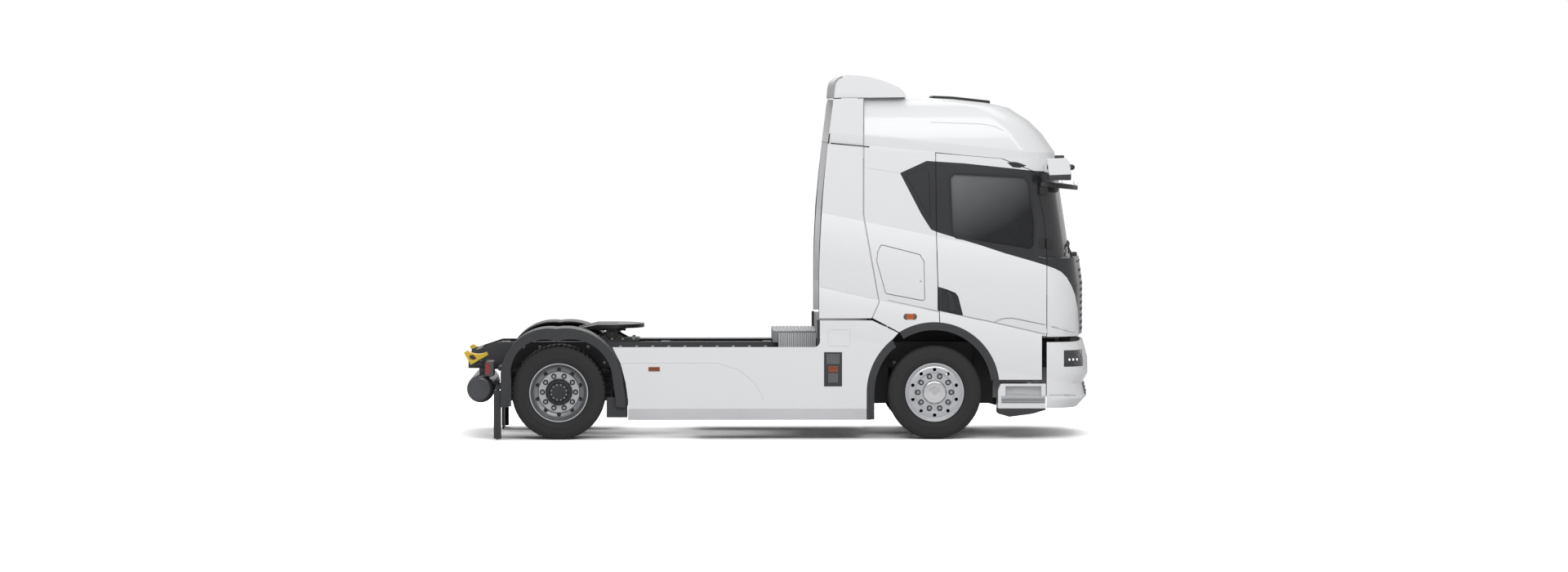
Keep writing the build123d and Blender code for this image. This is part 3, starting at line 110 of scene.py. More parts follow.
class Nodes:
    """A node tree with one way to add a node: its type, its settings, then its sockets."""

    def __init__(self, tree):
        self.tree = tree

    def add(self, kind, settings=None, sockets=None, out=0):
        node = self.tree.nodes.new(kind)
        for name, value in (settings or {}).items():
            setattr(node, name, value)
        for key, value in (sockets or {}).items():
            if isinstance(value, Wire):
                self.tree.links.new(value.socket, node.inputs[key])
            else:
                node.inputs[key].default_value = value
        return Wire(self, node.outputs[out]) if node.outputs else None

    def feed(self, wire, socket):
        self.tree.links.new(wire.socket, socket)

    def axes(self, where):
        split = self.add("ShaderNodeSeparateXYZ", None, {"Vector": where})
        return [Wire(self, socket) for socket in split.socket.node.outputs]

    def noise(self, where, scale, detail=2.0):
        return self.add(
            "ShaderNodeTexNoise", None, {"Vector": where, "Scale": scale, "Detail": detail}
        )

    def mix(self, factor, first, second):
        return self.add(
            "ShaderNodeMix", {"data_type": "RGBA"}, {0: factor, 6: first, 7: second}, out=2
        )


scene = bpy.context.scene
scene.view_settings.view_transform = "Standard"

floor_reach = 400.0
floor_bounce, floor_seen = (0.72, 0.72, 0.73, 1), (1.90, 1.90, 1.90, 1)
floor_mesh = bpy.data.meshes.new("floor")
floor_mesh.from_pydata(
    [(x * floor_reach, y * floor_reach, 0) for x, y in ((-1, -1), (1, -1), (1, 1), (-1, 1))],
    [],
    [(0, 1, 2, 3)],
)
floor = bpy.data.objects.new("floor", floor_mesh)
scene.collection.objects.link(floor)
floor_material = bpy.data.materials.new("studio_floor")
floor_material.use_nodes = True
floor_material.node_tree.nodes.clear()
floor_nodes = Nodes(floor_material.node_tree)
straight = floor_nodes.add("ShaderNodeLightPath", out="Is Camera Ray")
floor_tone = floor_nodes.mix(straight, floor_bounce, floor_seen)
floor_coat = floor_nodes.add("ShaderNodeBsdfDiffuse", None, {"Color": floor_tone})
floor_nodes.add("ShaderNodeOutputMaterial", None, {"Surface": floor_coat})
floor_mesh.materials.append(floor_material)

fill_level = 0.54
fill_tone, backdrop_white = (fill_level, fill_level, fill_level * 1.01, 1), (1, 1, 1, 1)
world = bpy.data.worlds.new("studio_world")
scene.world = world
world.use_nodes = True
world.node_tree.nodes.clear()
world_nodes = Nodes(world.node_tree)
rays = world.node_tree.nodes.new("ShaderNodeLightPath")
straight = Wire(world_nodes, rays.outputs["Is Camera Ray"])
through_glass = Wire(world_nodes, rays.outputs["Is Transmission Ray"])
world_tone = world_nodes.mix(straight + through_glass > 0.5, fill_tone, backdrop_white)
world_glow = world_nodes.add("ShaderNodeBackground", None, {"Color": world_tone})
world_nodes.add("ShaderNodeOutputWorld", None, {"Surface": world_glow})


def softbox(name, place, aim, size, power):
    """An evenly lit rectangle that faces a point."""
    light = bpy.data.lights.new(name, "AREA")
    light.shape = "RECTANGLE"
    light.size, light.size_y = size
    light.energy = power
    lamp = bpy.data.objects.new(name, light)
    lamp.location = place
    lamp.rotation_euler = (Vector(aim) - Vector(place)).to_track_quat("-Z", "Y").to_euler()
    scene.collection.objects.link(lamp)


# name, place, the point it faces, width and height in metres, watts
softbox("overhead_softbox", (0.5, 0.0, 9.5), (0.5, 0, 0), (11, 6), 250)
softbox("near_softbox", (1.2, -11.5, 7.0), (0.3, 0, 1.4), (9, 4), 500)
softbox("far_softbox", (-2.0, 11.0, 7.0), (0, 0, 1.4), (9, 4), 300)

viewpoint, middle_of_view = (-0.928, -56.8, 3.3), (0.05, -1.245, 1.554)
camera_data = bpy.data.cameras.new("camera")
camera_data.lens = 126.5
camera_data.sensor_width = 36.0
camera_data.clip_end = 1000.0
camera = bpy.data.objects.new("camera", camera_data)
camera.location = viewpoint
aim = Vector(middle_of_view) - camera.location
camera.rotation_euler = aim.to_track_quat("-Z", "Y").to_euler()
scene.collection.objects.link(camera)
scene.camera = camera

# ---------------------------------------------------------------- frame rails and brackets
# Two folded steel channels with welded cross members, brackets bolted to their webs.
# Sprayed dark grey; the bolts are zinc plated and stand on the webs' outsides.


def finish(name, colour, roughness, cloud, grain, metallic=0.0, coat=0.0):
    """A surface whose tone drifts (cloud) and whose skin is fine (grain), as (scale, strength)."""
    material = bpy.data.materials.new(name)
    material.use_nodes = True
    nodes = Nodes(material.node_tree)
    shader = material.node_tree.nodes["Principled BSDF"]
    shader.inputs["Metallic"].default_value = metallic
    shader.inputs["Coat Weight"].default_value = coat
    shader.inputs["Coat Roughness"].default_value = 0.06
    where = nodes.add("ShaderNodeTexCoord", out="Object")
    drift = nodes.noise(where, cloud[0], 4.0)
    darker = tuple(channel * (1 - cloud[1]) for channel in colour) + (1,)
    lighter = tuple(min(1.0, channel * (1 + cloud[1])) for channel in colour) + (1,)
    nodes.feed(nodes.mix(drift, darker, lighter), shader.inputs["Base Color"])
    nodes.feed(roughness + (drift - 0.5) * 0.12, shader.inputs["Roughness"])
    skin = nodes.noise(where, grain[0], 2.0)
    bump = nodes.add(
        "ShaderNodeBump", None, {"Strength": grain[1], "Distance": 0.002, "Height": skin}
    )
    nodes.feed(bump, shader.inputs["Normal"])
    return material


def settle(piece):
    """Works a piece's modifiers into its mesh."""
    graph = bpy.context.evaluated_depsgraph_get()
    ready = bpy.data.meshes.new_from_object(piece.evaluated_get(graph))
    piece.modifiers.clear()
    piece.data = ready


def placed(piece, body, material=None):
    """Hangs a piece on its body and names its finish."""
    if material:
        piece.data.materials.clear()
        piece.data.materials.append(material)
    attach(piece, body)
    return piece


def joined_copy(node, name=None):
    """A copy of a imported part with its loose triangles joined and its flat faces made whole."""
    mesh = frame["nodes"][node].data.copy()
    shape = bmesh.new()
    shape.from_mesh(mesh)
    bmesh.ops.remove_doubles(shape, verts=shape.verts, dist=1e-5)
    bmesh.ops.dissolve_limit(
        shape, angle_limit=radians(0.3), verts=shape.verts, edges=shape.edges
    )
    shape.to_mesh(mesh)
    shape.free()
    mesh.materials.clear()
    copy = bpy.data.objects.new(name or f"{node}_finished", mesh)
    scene.collection.objects.link(copy)
    return copy


def soften(piece, edge):
    """Rounds a piece's sharp edges and shades it smoothly between them."""
    if edge:
        bevel = piece.modifiers.new("edges", "BEVEL")
        bevel.width = edge
        bevel.segments = 2
        bevel.limit_method = "ANGLE"
        bevel.angle_limit = radians(32)
        bevel.use_clamp_overlap = True
        settle(piece)
    piece.data.shade_smooth()
    piece.data.set_sharp_from_angle(angle=radians(38))
    weighted = piece.modifiers.new("shading", "WEIGHTED_NORMAL")
    weighted.keep_sharp = True
    settle(piece)
    return piece


def stand_in(piece, node, material, edge):
    """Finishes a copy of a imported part, or a share of one, and stands it in for the part."""
    placed(soften(piece, edge), frame["nodes"][node]["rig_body"], material)
    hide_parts(node)


def dress(node, material, edge):
    """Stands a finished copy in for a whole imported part."""
    stand_in(joined_copy(node), node, material, edge)


def pattern(name, sizes, build):
    """A Geometry Nodes tree: build gets the nodes, the piece and the named sizes."""
    tree = bpy.data.node_groups.new(name, "GeometryNodeTree")
    tree.interface.new_socket("Geometry", in_out="INPUT", socket_type="NodeSocketGeometry")
    tree.interface.new_socket("Geometry", in_out="OUTPUT", socket_type="NodeSocketGeometry")
    kinds = {int: "NodeSocketInt", float: "NodeSocketFloat", tuple: "NodeSocketVector"}
    for key, sample in {**sizes, "Material": None}.items():
        kind = kinds.get(type(sample), "NodeSocketMaterial")
        tree.interface.new_socket(key, in_out="INPUT", socket_type=kind)
    nodes = Nodes(tree)
    start = tree.nodes.new("NodeGroupInput")
    given = {socket.name: Wire(nodes, socket) for socket in start.outputs if socket.name}
    whole = nodes.add("GeometryNodeRealizeInstances", None, {0: build(nodes, given)})
    done = nodes.add(
        "GeometryNodeSetMaterial", None, {"Geometry": whole, "Material": given["Material"]}
    )
    nodes.add("NodeGroupOutput", None, {0: done})
    return tree


def repeat(piece, tree, material, **sizes):
    """Runs a pattern on a piece's own mesh and keeps the result as a plain mesh."""
    run = piece.modifiers.new("pattern", "NODES")
    run.node_group = tree
    given = {**sizes, "Material": material}
    for item in tree.interface.items_tree:
        if item.in_out == "INPUT" and item.name in given:
            run[item.identifier] = given[item.name]
    settle(piece)


def row_of(nodes, given):
    """Copies in a straight row."""
    line = nodes.add(
        "GeometryNodeMeshLine",
        {"mode": "OFFSET"},
        {"Count": given["Count"], "Start Location": given["Start"], "Offset": given["Step"]},
    )
    return nodes.add(
        "GeometryNodeInstanceOnPoints", None, {"Points": line, "Instance": given["Geometry"]}
    )


row = pattern("row_of_pieces", {"Count": 2, "Start": (0, 0, 0), "Step": (0, 0, 0)}, row_of)


def solid(name, build):
    """An object from a bmesh that the given function fills."""
    shape = bmesh.new()
    build(shape)
    mesh = bpy.data.meshes.new(name)
    bmesh.ops.remove_doubles(shape, verts=shape.verts, dist=1e-6)
    bmesh.ops.recalc_face_normals(shape, faces=shape.faces)
    shape.to_mesh(mesh)
    shape.free()
    piece = bpy.data.objects.new(name, mesh)
    scene.collection.objects.link(piece)
    return piece


def turn_steps(count):
    """The angles of equal steps round a full turn."""
    return [2 * pi * index / count for index in range(count)]


def bridge(shape, rings, closed=False):
    """Faces between rings of equally many points; an open run is capped at both ends."""
    pairs = list(zip(rings, rings[1:])) + ([(rings[-1], rings[0])] if closed else [])
    for here, there in pairs:
        for index in range(len(here)):
            after = (index + 1) % len(here)
            shape.faces.new((here[index], here[after], there[after], there[index]))
    if not closed:
        shape.faces.new(rings[0])
        shape.faces.new(rings[-1])


def lathe(name, profile, centre, steps):
    """A piece turned about a wheel's axle from a closed loop of (y, radius) points."""

    def build(shape):
        rings = [
            [
                shape.verts.new((centre[0] + radius * cos(turn), y, centre[1] + radius * sin(turn)))
                for y, radius in profile
            ]
            for turn in turn_steps(steps)
        ]
        bridge(shape, rings, closed=True)

    return solid(name, build)


def bolt_head(name, across, height, axis, side):
    """A hexagon head on a thin washer, standing out along an axis."""
    washer = 0.25 * height
    # height of each ring, its share of the width, whether it is a hexagon
    levels = (
        (0.0, 0.66, False), (washer, 0.66, False), (washer, 0.5, True),
        (0.85 * height, 0.5, True), (height, 0.41, True),
    )

    def build(shape):
        rings = []
        for level, share, hexagonal in levels:
            ring = []
            for turn in turn_steps(24):
                reach = share * across
                if hexagonal:
                    reach *= cos(pi / 6) / cos((turn % (pi / 3)) - pi / 6)
                place = {
                    "y": (reach * cos(turn), side * level, reach * sin(turn)),
                    "z": (reach * cos(turn), reach * sin(turn), side * level),
                }[axis]
                ring.append(shape.verts.new(place))
            rings.append(ring)
        bridge(shape, rings)

    return solid(name, build)


chassis_grey = finish("chassis_grey", (0.055, 0.057, 0.062), 0.42, cloud=(3.0, 0.25), grain=(180.0, 0.12))
zinc = finish("zinc_plate", (0.42, 0.42, 0.40), 0.38, metallic=0.9, cloud=(9.0, 0.2), grain=(500.0, 0.1))
for node in ("frame_rails", "cross_members", "frame_brackets", "cab_floor"):
    dress(node, chassis_grey, 0.002)
hands = ((1, "left"), (-1, "right"))
rail_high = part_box("frame_rails")[1]
first_bolt_x, bolt_pitch, bolts_in_row, web_gap = -2.60, 0.165, 24, 0.0002
for side, hand in reversed(hands):
    for height in (0.905, 0.745):
        name = f"frame_bolts_{hand}_{bolts_in_row}_{height:.2f}"
        bolts = bolt_head(name, 0.026, 0.014, "y", side)
        start = (first_bolt_x, side * (rail_high.y + web_gap), height)
        repeat(bolts, row, zinc, Count=bolts_in_row, Start=start, Step=(bolt_pitch, 0, 0))
        placed(bolts, "root")

# ---------------------------------------------------------------- axles, springs and steering
# Forged axle beam, taper leaf springs and cast axle housing, all dipped in black primer.
# The bellows over the rear axle are moulded rubber.
casting = finish(
    "black_casting", (0.035, 0.036, 0.038), 0.55, metallic=0.2, cloud=(6.0, 0.3),
    grain=(140.0, 0.35),
)
rubber = finish("moulded_rubber", (0.02, 0.02, 0.021), 0.7, cloud=(5.0, 0.2), grain=(220.0, 0.2))
for node in (
    "front_axle", "front_springs", "rear_axle", "knuckle_left", "knuckle_right",
    "engine_and_radiator",
):
    dress(node, casting, 0.004)
dress("tie_rod", casting, 0.002)
dress("air_bellows", rubber, 0.012)

# ---------------------------------------------------------------- tanks, tail lamps and chocks
# Rolled aluminium fuel tanks on straps, a painted air tank across the rear, moulded rear lamps
# in dark housings and two yellow plastic wheel chocks clipped in their holders.
# Like fittings on both sides come from one block, measured out from the middle.
tank_paint = finish(
    "tank_paint", (0.085, 0.087, 0.095), 0.24, metallic=0.4, coat=0.5, cloud=(4.0, 0.1),
    grain=(90.0, 0.08),
)
lamp_housing = finish("lamp_housing", (0.10, 0.10, 0.105), 0.45, cloud=(9.0, 0.15), grain=(300.0, 0.2))
red_lens = finish("red_lens", (0.42, 0.025, 0.02), 0.12, coat=0.8, cloud=(30.0, 0.12), grain=(90.0, 0.25))
amber_lens = finish("amber_lens", (0.80, 0.26, 0.02), 0.12, coat=0.8, cloud=(30.0, 0.12), grain=(90.0, 0.25))
amber_deep = finish("amber_deep", (0.24, 0.050, 0.009), 0.14, coat=0.8, cloud=(30.0, 0.2), grain=(90.0, 0.3))
clear_lens = finish("clear_lens", (0.72, 0.73, 0.74), 0.1, coat=0.8, cloud=(30.0, 0.05), grain=(90.0, 0.25))
chock_yellow = finish("chock_yellow", (0.80, 0.55, 0.03), 0.48, cloud=(14.0, 0.12), grain=(260.0, 0.3))
dress("tanks", tank_paint, 0.006)


def block(name, low, high, edge):
    """A block between two corners, its edges rounded."""

    def build(shape):
        bmesh.ops.create_cube(shape, size=1.0)
        for vert in shape.verts:
            for axis in range(3):
                vert.co[axis] = low[axis] if vert.co[axis] < 0 else high[axis]

    piece = solid(name, build)
    return soften(piece, edge) if edge else piece


def side_block(name, side, x_range, y_range, z_range, edge):
    """A block on one side, its width given as distances out from the middle."""
    y_low, y_high = sorted(side * y for y in y_range)
    return block(name, (x_range[0], y_low, z_range[0]), (x_range[1], y_high, z_range[1]), edge)


def fit_blocks(side, hand, body, *rows):
    """Blocks on one side, each by its name, its x, y and z ranges, edge, slot and finish; the slot is not
    used.
    """
    for name, x_range, y_range, z_range, edge, slot, material in rows:
        piece = side_block(f"{name}_{hand}", side, x_range, y_range, z_range, edge)
        placed(piece, body, material)


def join(name, pieces):
    """Several pieces made one."""
    shape = bmesh.new()
    for piece in pieces:
        shape.from_mesh(piece.data)
        bpy.data.objects.remove(piece)
    mesh = bpy.data.meshes.new(name)
    shape.to_mesh(mesh)
    shape.free()
    piece = bpy.data.objects.new(name, mesh)
    scene.collection.objects.link(piece)
    return piece


def cut(piece, tool, operation="DIFFERENCE", keep_tool=False):
    """Cuts a piece with another, or keeps only what they share."""
    work = piece.modifiers.new("cut", "BOOLEAN")
    work.operation = operation
    work.solver = "EXACT"
    work.object = tool
    settle(piece)
    if not keep_tool:
        bpy.data.objects.remove(tool)
    return piece


def peg(name, centre, radius, low_y, high_y, steps=24):
    """A plain round bar along Y, used as a pin or a drill."""

    def build(shape):
        bridge(shape, [
            [
                shape.verts.new((centre[0] + radius * cos(turn), y, centre[1] + radius * sin(turn)))
                for turn in turn_steps(steps)
            ]
            for y in (low_y, high_y)
        ])

    return solid(name, build)


dress("tail_lamps", lamp_housing, 0.008)
lamp_low, lamp_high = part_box("tail_lamps")
lamp_outer, lamp_length = lamp_high.y - 0.012, 0.34
lens_x = (lamp_low.x - 0.006, lamp_low.x + 0.012)
lens_z = (lamp_low.z + 0.016, lamp_high.z - 0.016)
# lens, share of the lamp's length that it starts and ends at, slot, finish
lenses = (
    ("stop_lens", 0.0, 0.34, "lamp_red", red_lens),
    ("turn_lens", 0.355, 0.60, "lamp_red", amber_lens),
    ("tail_lens", 0.615, 0.82, "lamp_red", red_lens),
    ("reverse_lens", 0.835, 1.0, "lamp_clear", clear_lens),
)
for side, hand in hands:
    for name, start, end, slot, material in lenses:
        y_range = (lamp_outer - start * lamp_length, lamp_outer - end * lamp_length)
        fit_blocks(side, hand, "root", (name, lens_x, y_range, lens_z, 0.005, slot, material))
    fit_blocks(side, hand, "root", (
        "side_mark", (lamp_low.x + 0.004, lamp_low.x + 0.038),
        (lamp_high.y - 0.002, lamp_high.y + 0.003), (lamp_low.z + 0.02, lamp_high.z - 0.02),
        0.002, "lamp_red", red_lens,
    ))

chock_low, chock_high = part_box("wheel_chocks")
chocks = joined_copy("wheel_chocks")
chock_middle_x = (chock_low.x + chock_high.x) / 2
chock_middle_z = (chock_low.z + chock_high.z) / 2
# lightening holes: forwards and up from the middle, radius
for shift, rise, radius in ((-0.052, 0.012, 0.016), (-0.008, -0.006, 0.013), (0.034, -0.028, 0.010)):
    centre = (chock_middle_x + shift, chock_middle_z + rise)
    cut(chocks, peg("chock_drill", centre, radius, -1.2, 1.2))
stand_in(chocks, "wheel_chocks", chock_yellow, 0.004)

# ---------------------------------------------------------------- tyres
# Steel-belted rubber: a moulded carcass with ringed sidewalls, and separate tread blocks that
# stand between four round grooves. The drive tyres carry coarser blocks than the steered ones.
tyre_rubber = finish("tyre_rubber", (0.021, 0.021, 0.022), 0.72, cloud=(7.0, 0.28), grain=(210.0, 0.22))
axle_z = 0.475
front_x, rear_x = 1.575, -2.225


def ring_of(nodes, given):
    """Copies in a full ring about the wheel's axle."""
    line = nodes.add(
        "GeometryNodeMeshLine",
        {"mode": "OFFSET"},
        {"Count": given["Count"], "Start Location": given["Centre"], "Offset": (0, 0, 0)},
    )
    turn = nodes.add("GeometryNodeInputIndex") * (2 * pi) / given["Count"]
    spin = nodes.add("ShaderNodeCombineXYZ", None, {"Y": turn})
    return nodes.add(
        "GeometryNodeInstanceOnPoints",
        None,
        {"Points": line, "Instance": given["Geometry"], "Rotation": spin},
    )


ring = pattern("ring_of_pieces", {"Count": 2, "Centre": (0, 0, 0)}, ring_of)


def carcass(name, centre_x, middle_y, half):
    """One tyre's body: beads, bulged sidewalls with raised rings, and the grooves' floor."""
    # share of half the tyre's width, radius
    wall = (
        (0.84, 0.2985), (0.90, 0.306), (0.955, 0.330), (0.985, 0.348), (0.999, 0.3515),
        (1.0, 0.3585), (0.99, 0.362), (1.0, 0.385), (0.992, 0.408), (0.998, 0.4115),
        (0.992, 0.4165), (0.97, 0.432), (0.945, 0.446), (0.925, 0.4575), (0.88, 0.4615),
    )
    outline = [(middle_y + half * share, radius) for share, radius in wall]
    outline += [(middle_y - half * share, radius) for share, radius in reversed(wall)]
    return lathe(name, outline, (centre_x, axle_z), 128)


def tread(name, centre_x, middle_y, half, count, lugs):
    """Tread blocks: lugs give each block's middle, width, slant and fill across the tread."""
    arc = 2 * pi / count
    shoulder_drop, mean_radius = 0.0044, 0.47
    # radius and the chamfer's inset
    levels = ((0.4575, 0.0), (0.4725, 0.0), (0.4742, 0.0016))

    def build(shape):
        for middle, width, slant, fill in lugs:
            rings = []
            for level, inset in levels:
                ring_points = []
                for across, along in ((-1, -1), (1, -1), (1, 1), (-1, 1)):
                    y = half * (middle + across * width / 2) - across * inset
                    swing = arc * (along * fill / 2) + slant * arc * across - along * inset / mean_radius
                    reach = level - shoulder_drop * (y / half) ** 4
                    ring_points.append(
                        shape.verts.new((reach * sin(swing), middle_y + y, reach * cos(swing)))
                    )
                rings.append(ring_points)
            bridge(shape, rings)

    blocks = solid(name, build)
    repeat(blocks, ring, tyre_rubber, Count=count, Centre=(centre_x, 0.0, axle_z))
    return blocks


# middle and width as shares of half the tyre's width, slant, share of the pitch filled
steer_lugs = (
    (-0.78, 0.27, 0.0, 0.93), (-0.39, 0.33, 0.05, 0.9), (0.0, 0.30, 0.0, 0.9),
    (0.39, 0.33, -0.05, 0.9), (0.78, 0.27, 0.0, 0.93),
)
drive_lugs = (
    (-0.74, 0.36, 0.08, 0.72), (-0.25, 0.42, -0.1, 0.78), (0.25, 0.42, 0.1, 0.78),
    (0.74, 0.36, -0.08, 0.72),
)
tyre_gap, tread_share = 0.001, 0.95


def mount_tyre(kind, place, body, node, centre_x, middle, half, count, lugs):
    """One tyre: its carcass and its ring of tread blocks."""
    carcass_piece = carcass(f"{kind}_tyre_{place}", centre_x, middle, half)
    blocks = tread(f"{kind}_tread_{place}", centre_x, middle, half * tread_share, count, lugs)
    for piece in (soften(carcass_piece, 0), blocks):
        placed(piece, body, tyre_rubber)
        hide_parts(node)


for side, hand in hands:
    low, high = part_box(f"tyre_front_{hand}")
    middle, half = (low.y + high.y) / 2, (high.y - low.y) / 2 - tyre_gap
    mount_tyre(
        "steer", hand, f"wheel_front_{hand}", f"tyre_front_{hand}", front_x, middle, half, 72, steer_lugs
    )
    low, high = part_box(f"tyres_rear_{hand}")
    inner_y, outer_y = sorted((abs(low.y), abs(high.y)))
    half = 0.146
    for place, middle in (("outer", outer_y - half - tyre_gap), ("inner", inner_y + half + tyre_gap)):
        mount_tyre(
            "drive", f"{place}_{hand}", f"wheels_rear_{hand}", f"tyres_rear_{hand}",
            rear_x, side * middle, half, 56, drive_lugs,
        )

# ---------------------------------------------------------------- rims, hubs and wheel nuts
# Pressed steel rims in silver lacquer: the front discs stand nearly flush and the rear ones
# are dished deep. Ten nuts hold each, round a bright cap in front and a cast drum behind.
rim_silver = finish(
    "rim_silver", (0.60, 0.61, 0.63), 0.30, metallic=0.75, coat=0.3, cloud=(6.0, 0.07),
    grain=(400.0, 0.08),
)
polished = finish(
    "polished_steel", (0.80, 0.80, 0.81), 0.16, metallic=1.0, cloud=(9.0, 0.05), grain=(500.0, 0.03),
)
# near black for the washers under the wheel nuts: a painted shadow ring round each nut
washer_painted_shadow = finish("washer_painted_shadow", (0.045, 0.045, 0.048), 0.45, metallic=0.8, cloud=(9.0, 0.2), grain=(300.0, 0.1))
# the rear outer rim's barrel and dish in a darker copy of the silver: painted shade for the shadow in the
# deep dish
rim_painted_shade = finish(
    "rim_painted_shade", (0.27, 0.275, 0.285), 0.40, metallic=0.6, cloud=(6.0, 0.12), grain=(400.0, 0.08),
)


def drill_ring(centre_x, radius, hole, low_y, high_y):
    """A ring of round bars for cutting a wheel disc's holes."""
    return join("hole_drills", [
        peg(
            "hole_drill", (centre_x + radius * sin(turn), axle_z + radius * cos(turn)),
            hole, low_y, high_y, 28,
        )
        for turn in turn_steps(10)
    ])


def turned(name, centre_x, side, outside, section, steps=96):
    """A piece turned from (depth in from a wheel's outer face, radius) points."""
    profile = [(side * (outside - depth), radius) for depth, radius in section]
    return lathe(name, profile, (centre_x, axle_z), steps)


def nut_ring(name, centre_x, base_y, side, body, height, count=10, circle=0.1675, across=0.036):
    """Wheel nuts on their studs, each on a near black washer that paints a shadow ring round the nut."""
    half_step = Matrix.Rotation(pi / count, 4, "Y")
    nut = bolt_head(name, across, height, "y", side)
    nut.data.transform(half_step @ Matrix.Translation((0, base_y, circle)))
    repeat(nut, ring, zinc, Count=count, Centre=(centre_x, 0.0, axle_z))
    placed(nut, body)
    ends = sorted((base_y, base_y + side * height * 0.3))
    washer = peg(f"{name}_washers", (0.0, circle), across * 0.76, *ends)
    washer.data.transform(half_step)
    repeat(soften(washer, 0), ring, washer_painted_shadow, Count=count, Centre=(centre_x, 0.0, axle_z))
    placed(washer, body)


# sections as (depth in from the wheel's outer face, radius); the front rim's barrel goes first
front_rim_section = (
    (0.255, 0.270), (0.045, 0.268), (0.034, 0.256), (0.034, 0.120), (0.019, 0.120),
    (0.019, 0.192), (0.010, 0.203), (0.009, 0.250), (0.015, 0.262), (0.009, 0.273), (0.0, 0.286),
)
cap_section = (
    (0.030, 0.001), (0.030, 0.118), (0.012, 0.116), (0.004, 0.110), (0.001, 0.100),
    (0.003, 0.070), (0.001, 0.062), (0.0005, 0.001),
)
# the outer rear wheel: lip, long barrel, then the disc in towards the twin's middle
outer_rim_section = (
    (0.0, 0.2975), (0.274, 0.2975), (0.274, 0.289), (0.250, 0.271), (0.168, 0.268),
    (0.158, 0.240), (0.158, 0.136), (0.144, 0.136), (0.144, 0.206), (0.137, 0.214),
    (0.134, 0.240), (0.120, 0.258), (0.034, 0.264), (0.018, 0.274), (0.0, 0.286),
)
# the flange face and the lip in the plain silver, lighter than the painted shade on the rest of the rear rim
bright_sections = (
    ("flange_face", ((0.1445, 0.1365), (0.1425, 0.1365), (0.1425, 0.2045), (0.1445, 0.2055))),
    ("lip", ((0.004, 0.2850), (-0.0012, 0.2865), (-0.0012, 0.2965), (0.004, 0.2970))),
)
inner_width = 0.276
inner_rim_section = (
    (0.0, 0.2975), (inner_width, 0.2975), (inner_width, 0.286), (0.25, 0.270), (0.03, 0.270),
    (0.0, 0.286),
)
inner_disc_section = (
    (0.159, 0.136), (0.159, 0.206), (0.20, 0.268), (0.21, 0.268), (0.174, 0.20), (0.174, 0.136),
)
drum_section = (
    (0.30, 0.001), (0.30, 0.150), (0.144, 0.150), (0.143, 0.134), (0.098, 0.130),
    (0.086, 0.120), (0.084, 0.098), (0.070, 0.094), (0.062, 0.084), (0.060, 0.001),
)
for side, hand in hands:
    body = f"wheel_front_{hand}"
    low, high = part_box(f"rim_front_{hand}")
    inside, outside = sorted((abs(low.y), abs(high.y)))
    barrel = ((0.0, 0.2975), (outside - inside, 0.2975), (outside - inside, 0.2895))
    rim = turned(f"front_rim_{hand}", front_x, side, outside, barrel + front_rim_section, 128)
    cut(rim, drill_ring(front_x, 0.231, 0.0180, side * (outside - 0.06), side * (outside + 0.02)))
    stand_in(rim, f"rim_front_{hand}", rim_silver, 0.0025)
    cap = turned(f"front_hub_cap_{hand}", front_x, side, outside, cap_section)
    placed(soften(cap, 0), body, polished)
    boss = bolt_head(f"front_cap_boss_{hand}", 0.075, 0.008, "y", side)
    boss.data.transform(Matrix.Translation((front_x, side * (outside - 0.0085), axle_z)))
    placed(boss, body, rim_silver)
    nut_ring(f"front_wheel_nuts_{hand}", front_x, side * (outside - 0.019), side, body, 0.019)

    body = f"wheels_rear_{hand}"
    low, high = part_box(f"rims_rear_{hand}")
    inside, outside = sorted((abs(low.y), abs(high.y)))
    # the rear outer rim carries the painted shade of its deep dish
    rim = turned(f"rear_outer_rim_{hand}", rear_x, side, outside, outer_rim_section, 128)
    cut(rim, drill_ring(rear_x, 0.224, 0.021, side * (outside - 0.20), side * (outside - 0.10)))
    stand_in(rim, f"rims_rear_{hand}", rim_painted_shade, 0.0025)
    for name, section in bright_sections:
        bright = turned(f"rear_rim_{name}_{hand}", rear_x, side, outside, section, 128)
        placed(soften(bright, 0), body, rim_silver)
    inner_face = inside + inner_width
    inner = turned(f"rear_inner_rim_{hand}", rear_x, side, inner_face, inner_rim_section)
    stand_in(inner, f"rims_rear_{hand}", rim_silver, 0.002)
    disc = turned(f"rear_inner_disc_{hand}", rear_x, side, outside, inner_disc_section)
    placed(soften(disc, 0.002), body, rim_silver)
    drum = turned(f"rear_hub_{hand}", rear_x, side, outside, drum_section)
    placed(soften(drum, 0.002), body, casting)
    lug = block(f"rear_hub_lugs_{hand}", (-0.010, -0.012, 0.100), (0.010, 0.012, 0.131), 0.003)
    lug.data.transform(Matrix.Translation((0, side * (outside - 0.092), 0)))
    repeat(lug, ring, casting, Count=12, Centre=(rear_x, 0.0, axle_z))
    placed(lug, body)
    flange_y, stud_y = side * (outside - 0.070), side * (outside - 0.144)
    nut_ring(f"axle_flange_bolts_{hand}", rear_x, flange_y, side, body, 0.010, 12, 0.078, 0.018)
    nut_ring(f"rear_wheel_nuts_{hand}", rear_x, stud_y, side, body, 0.028)

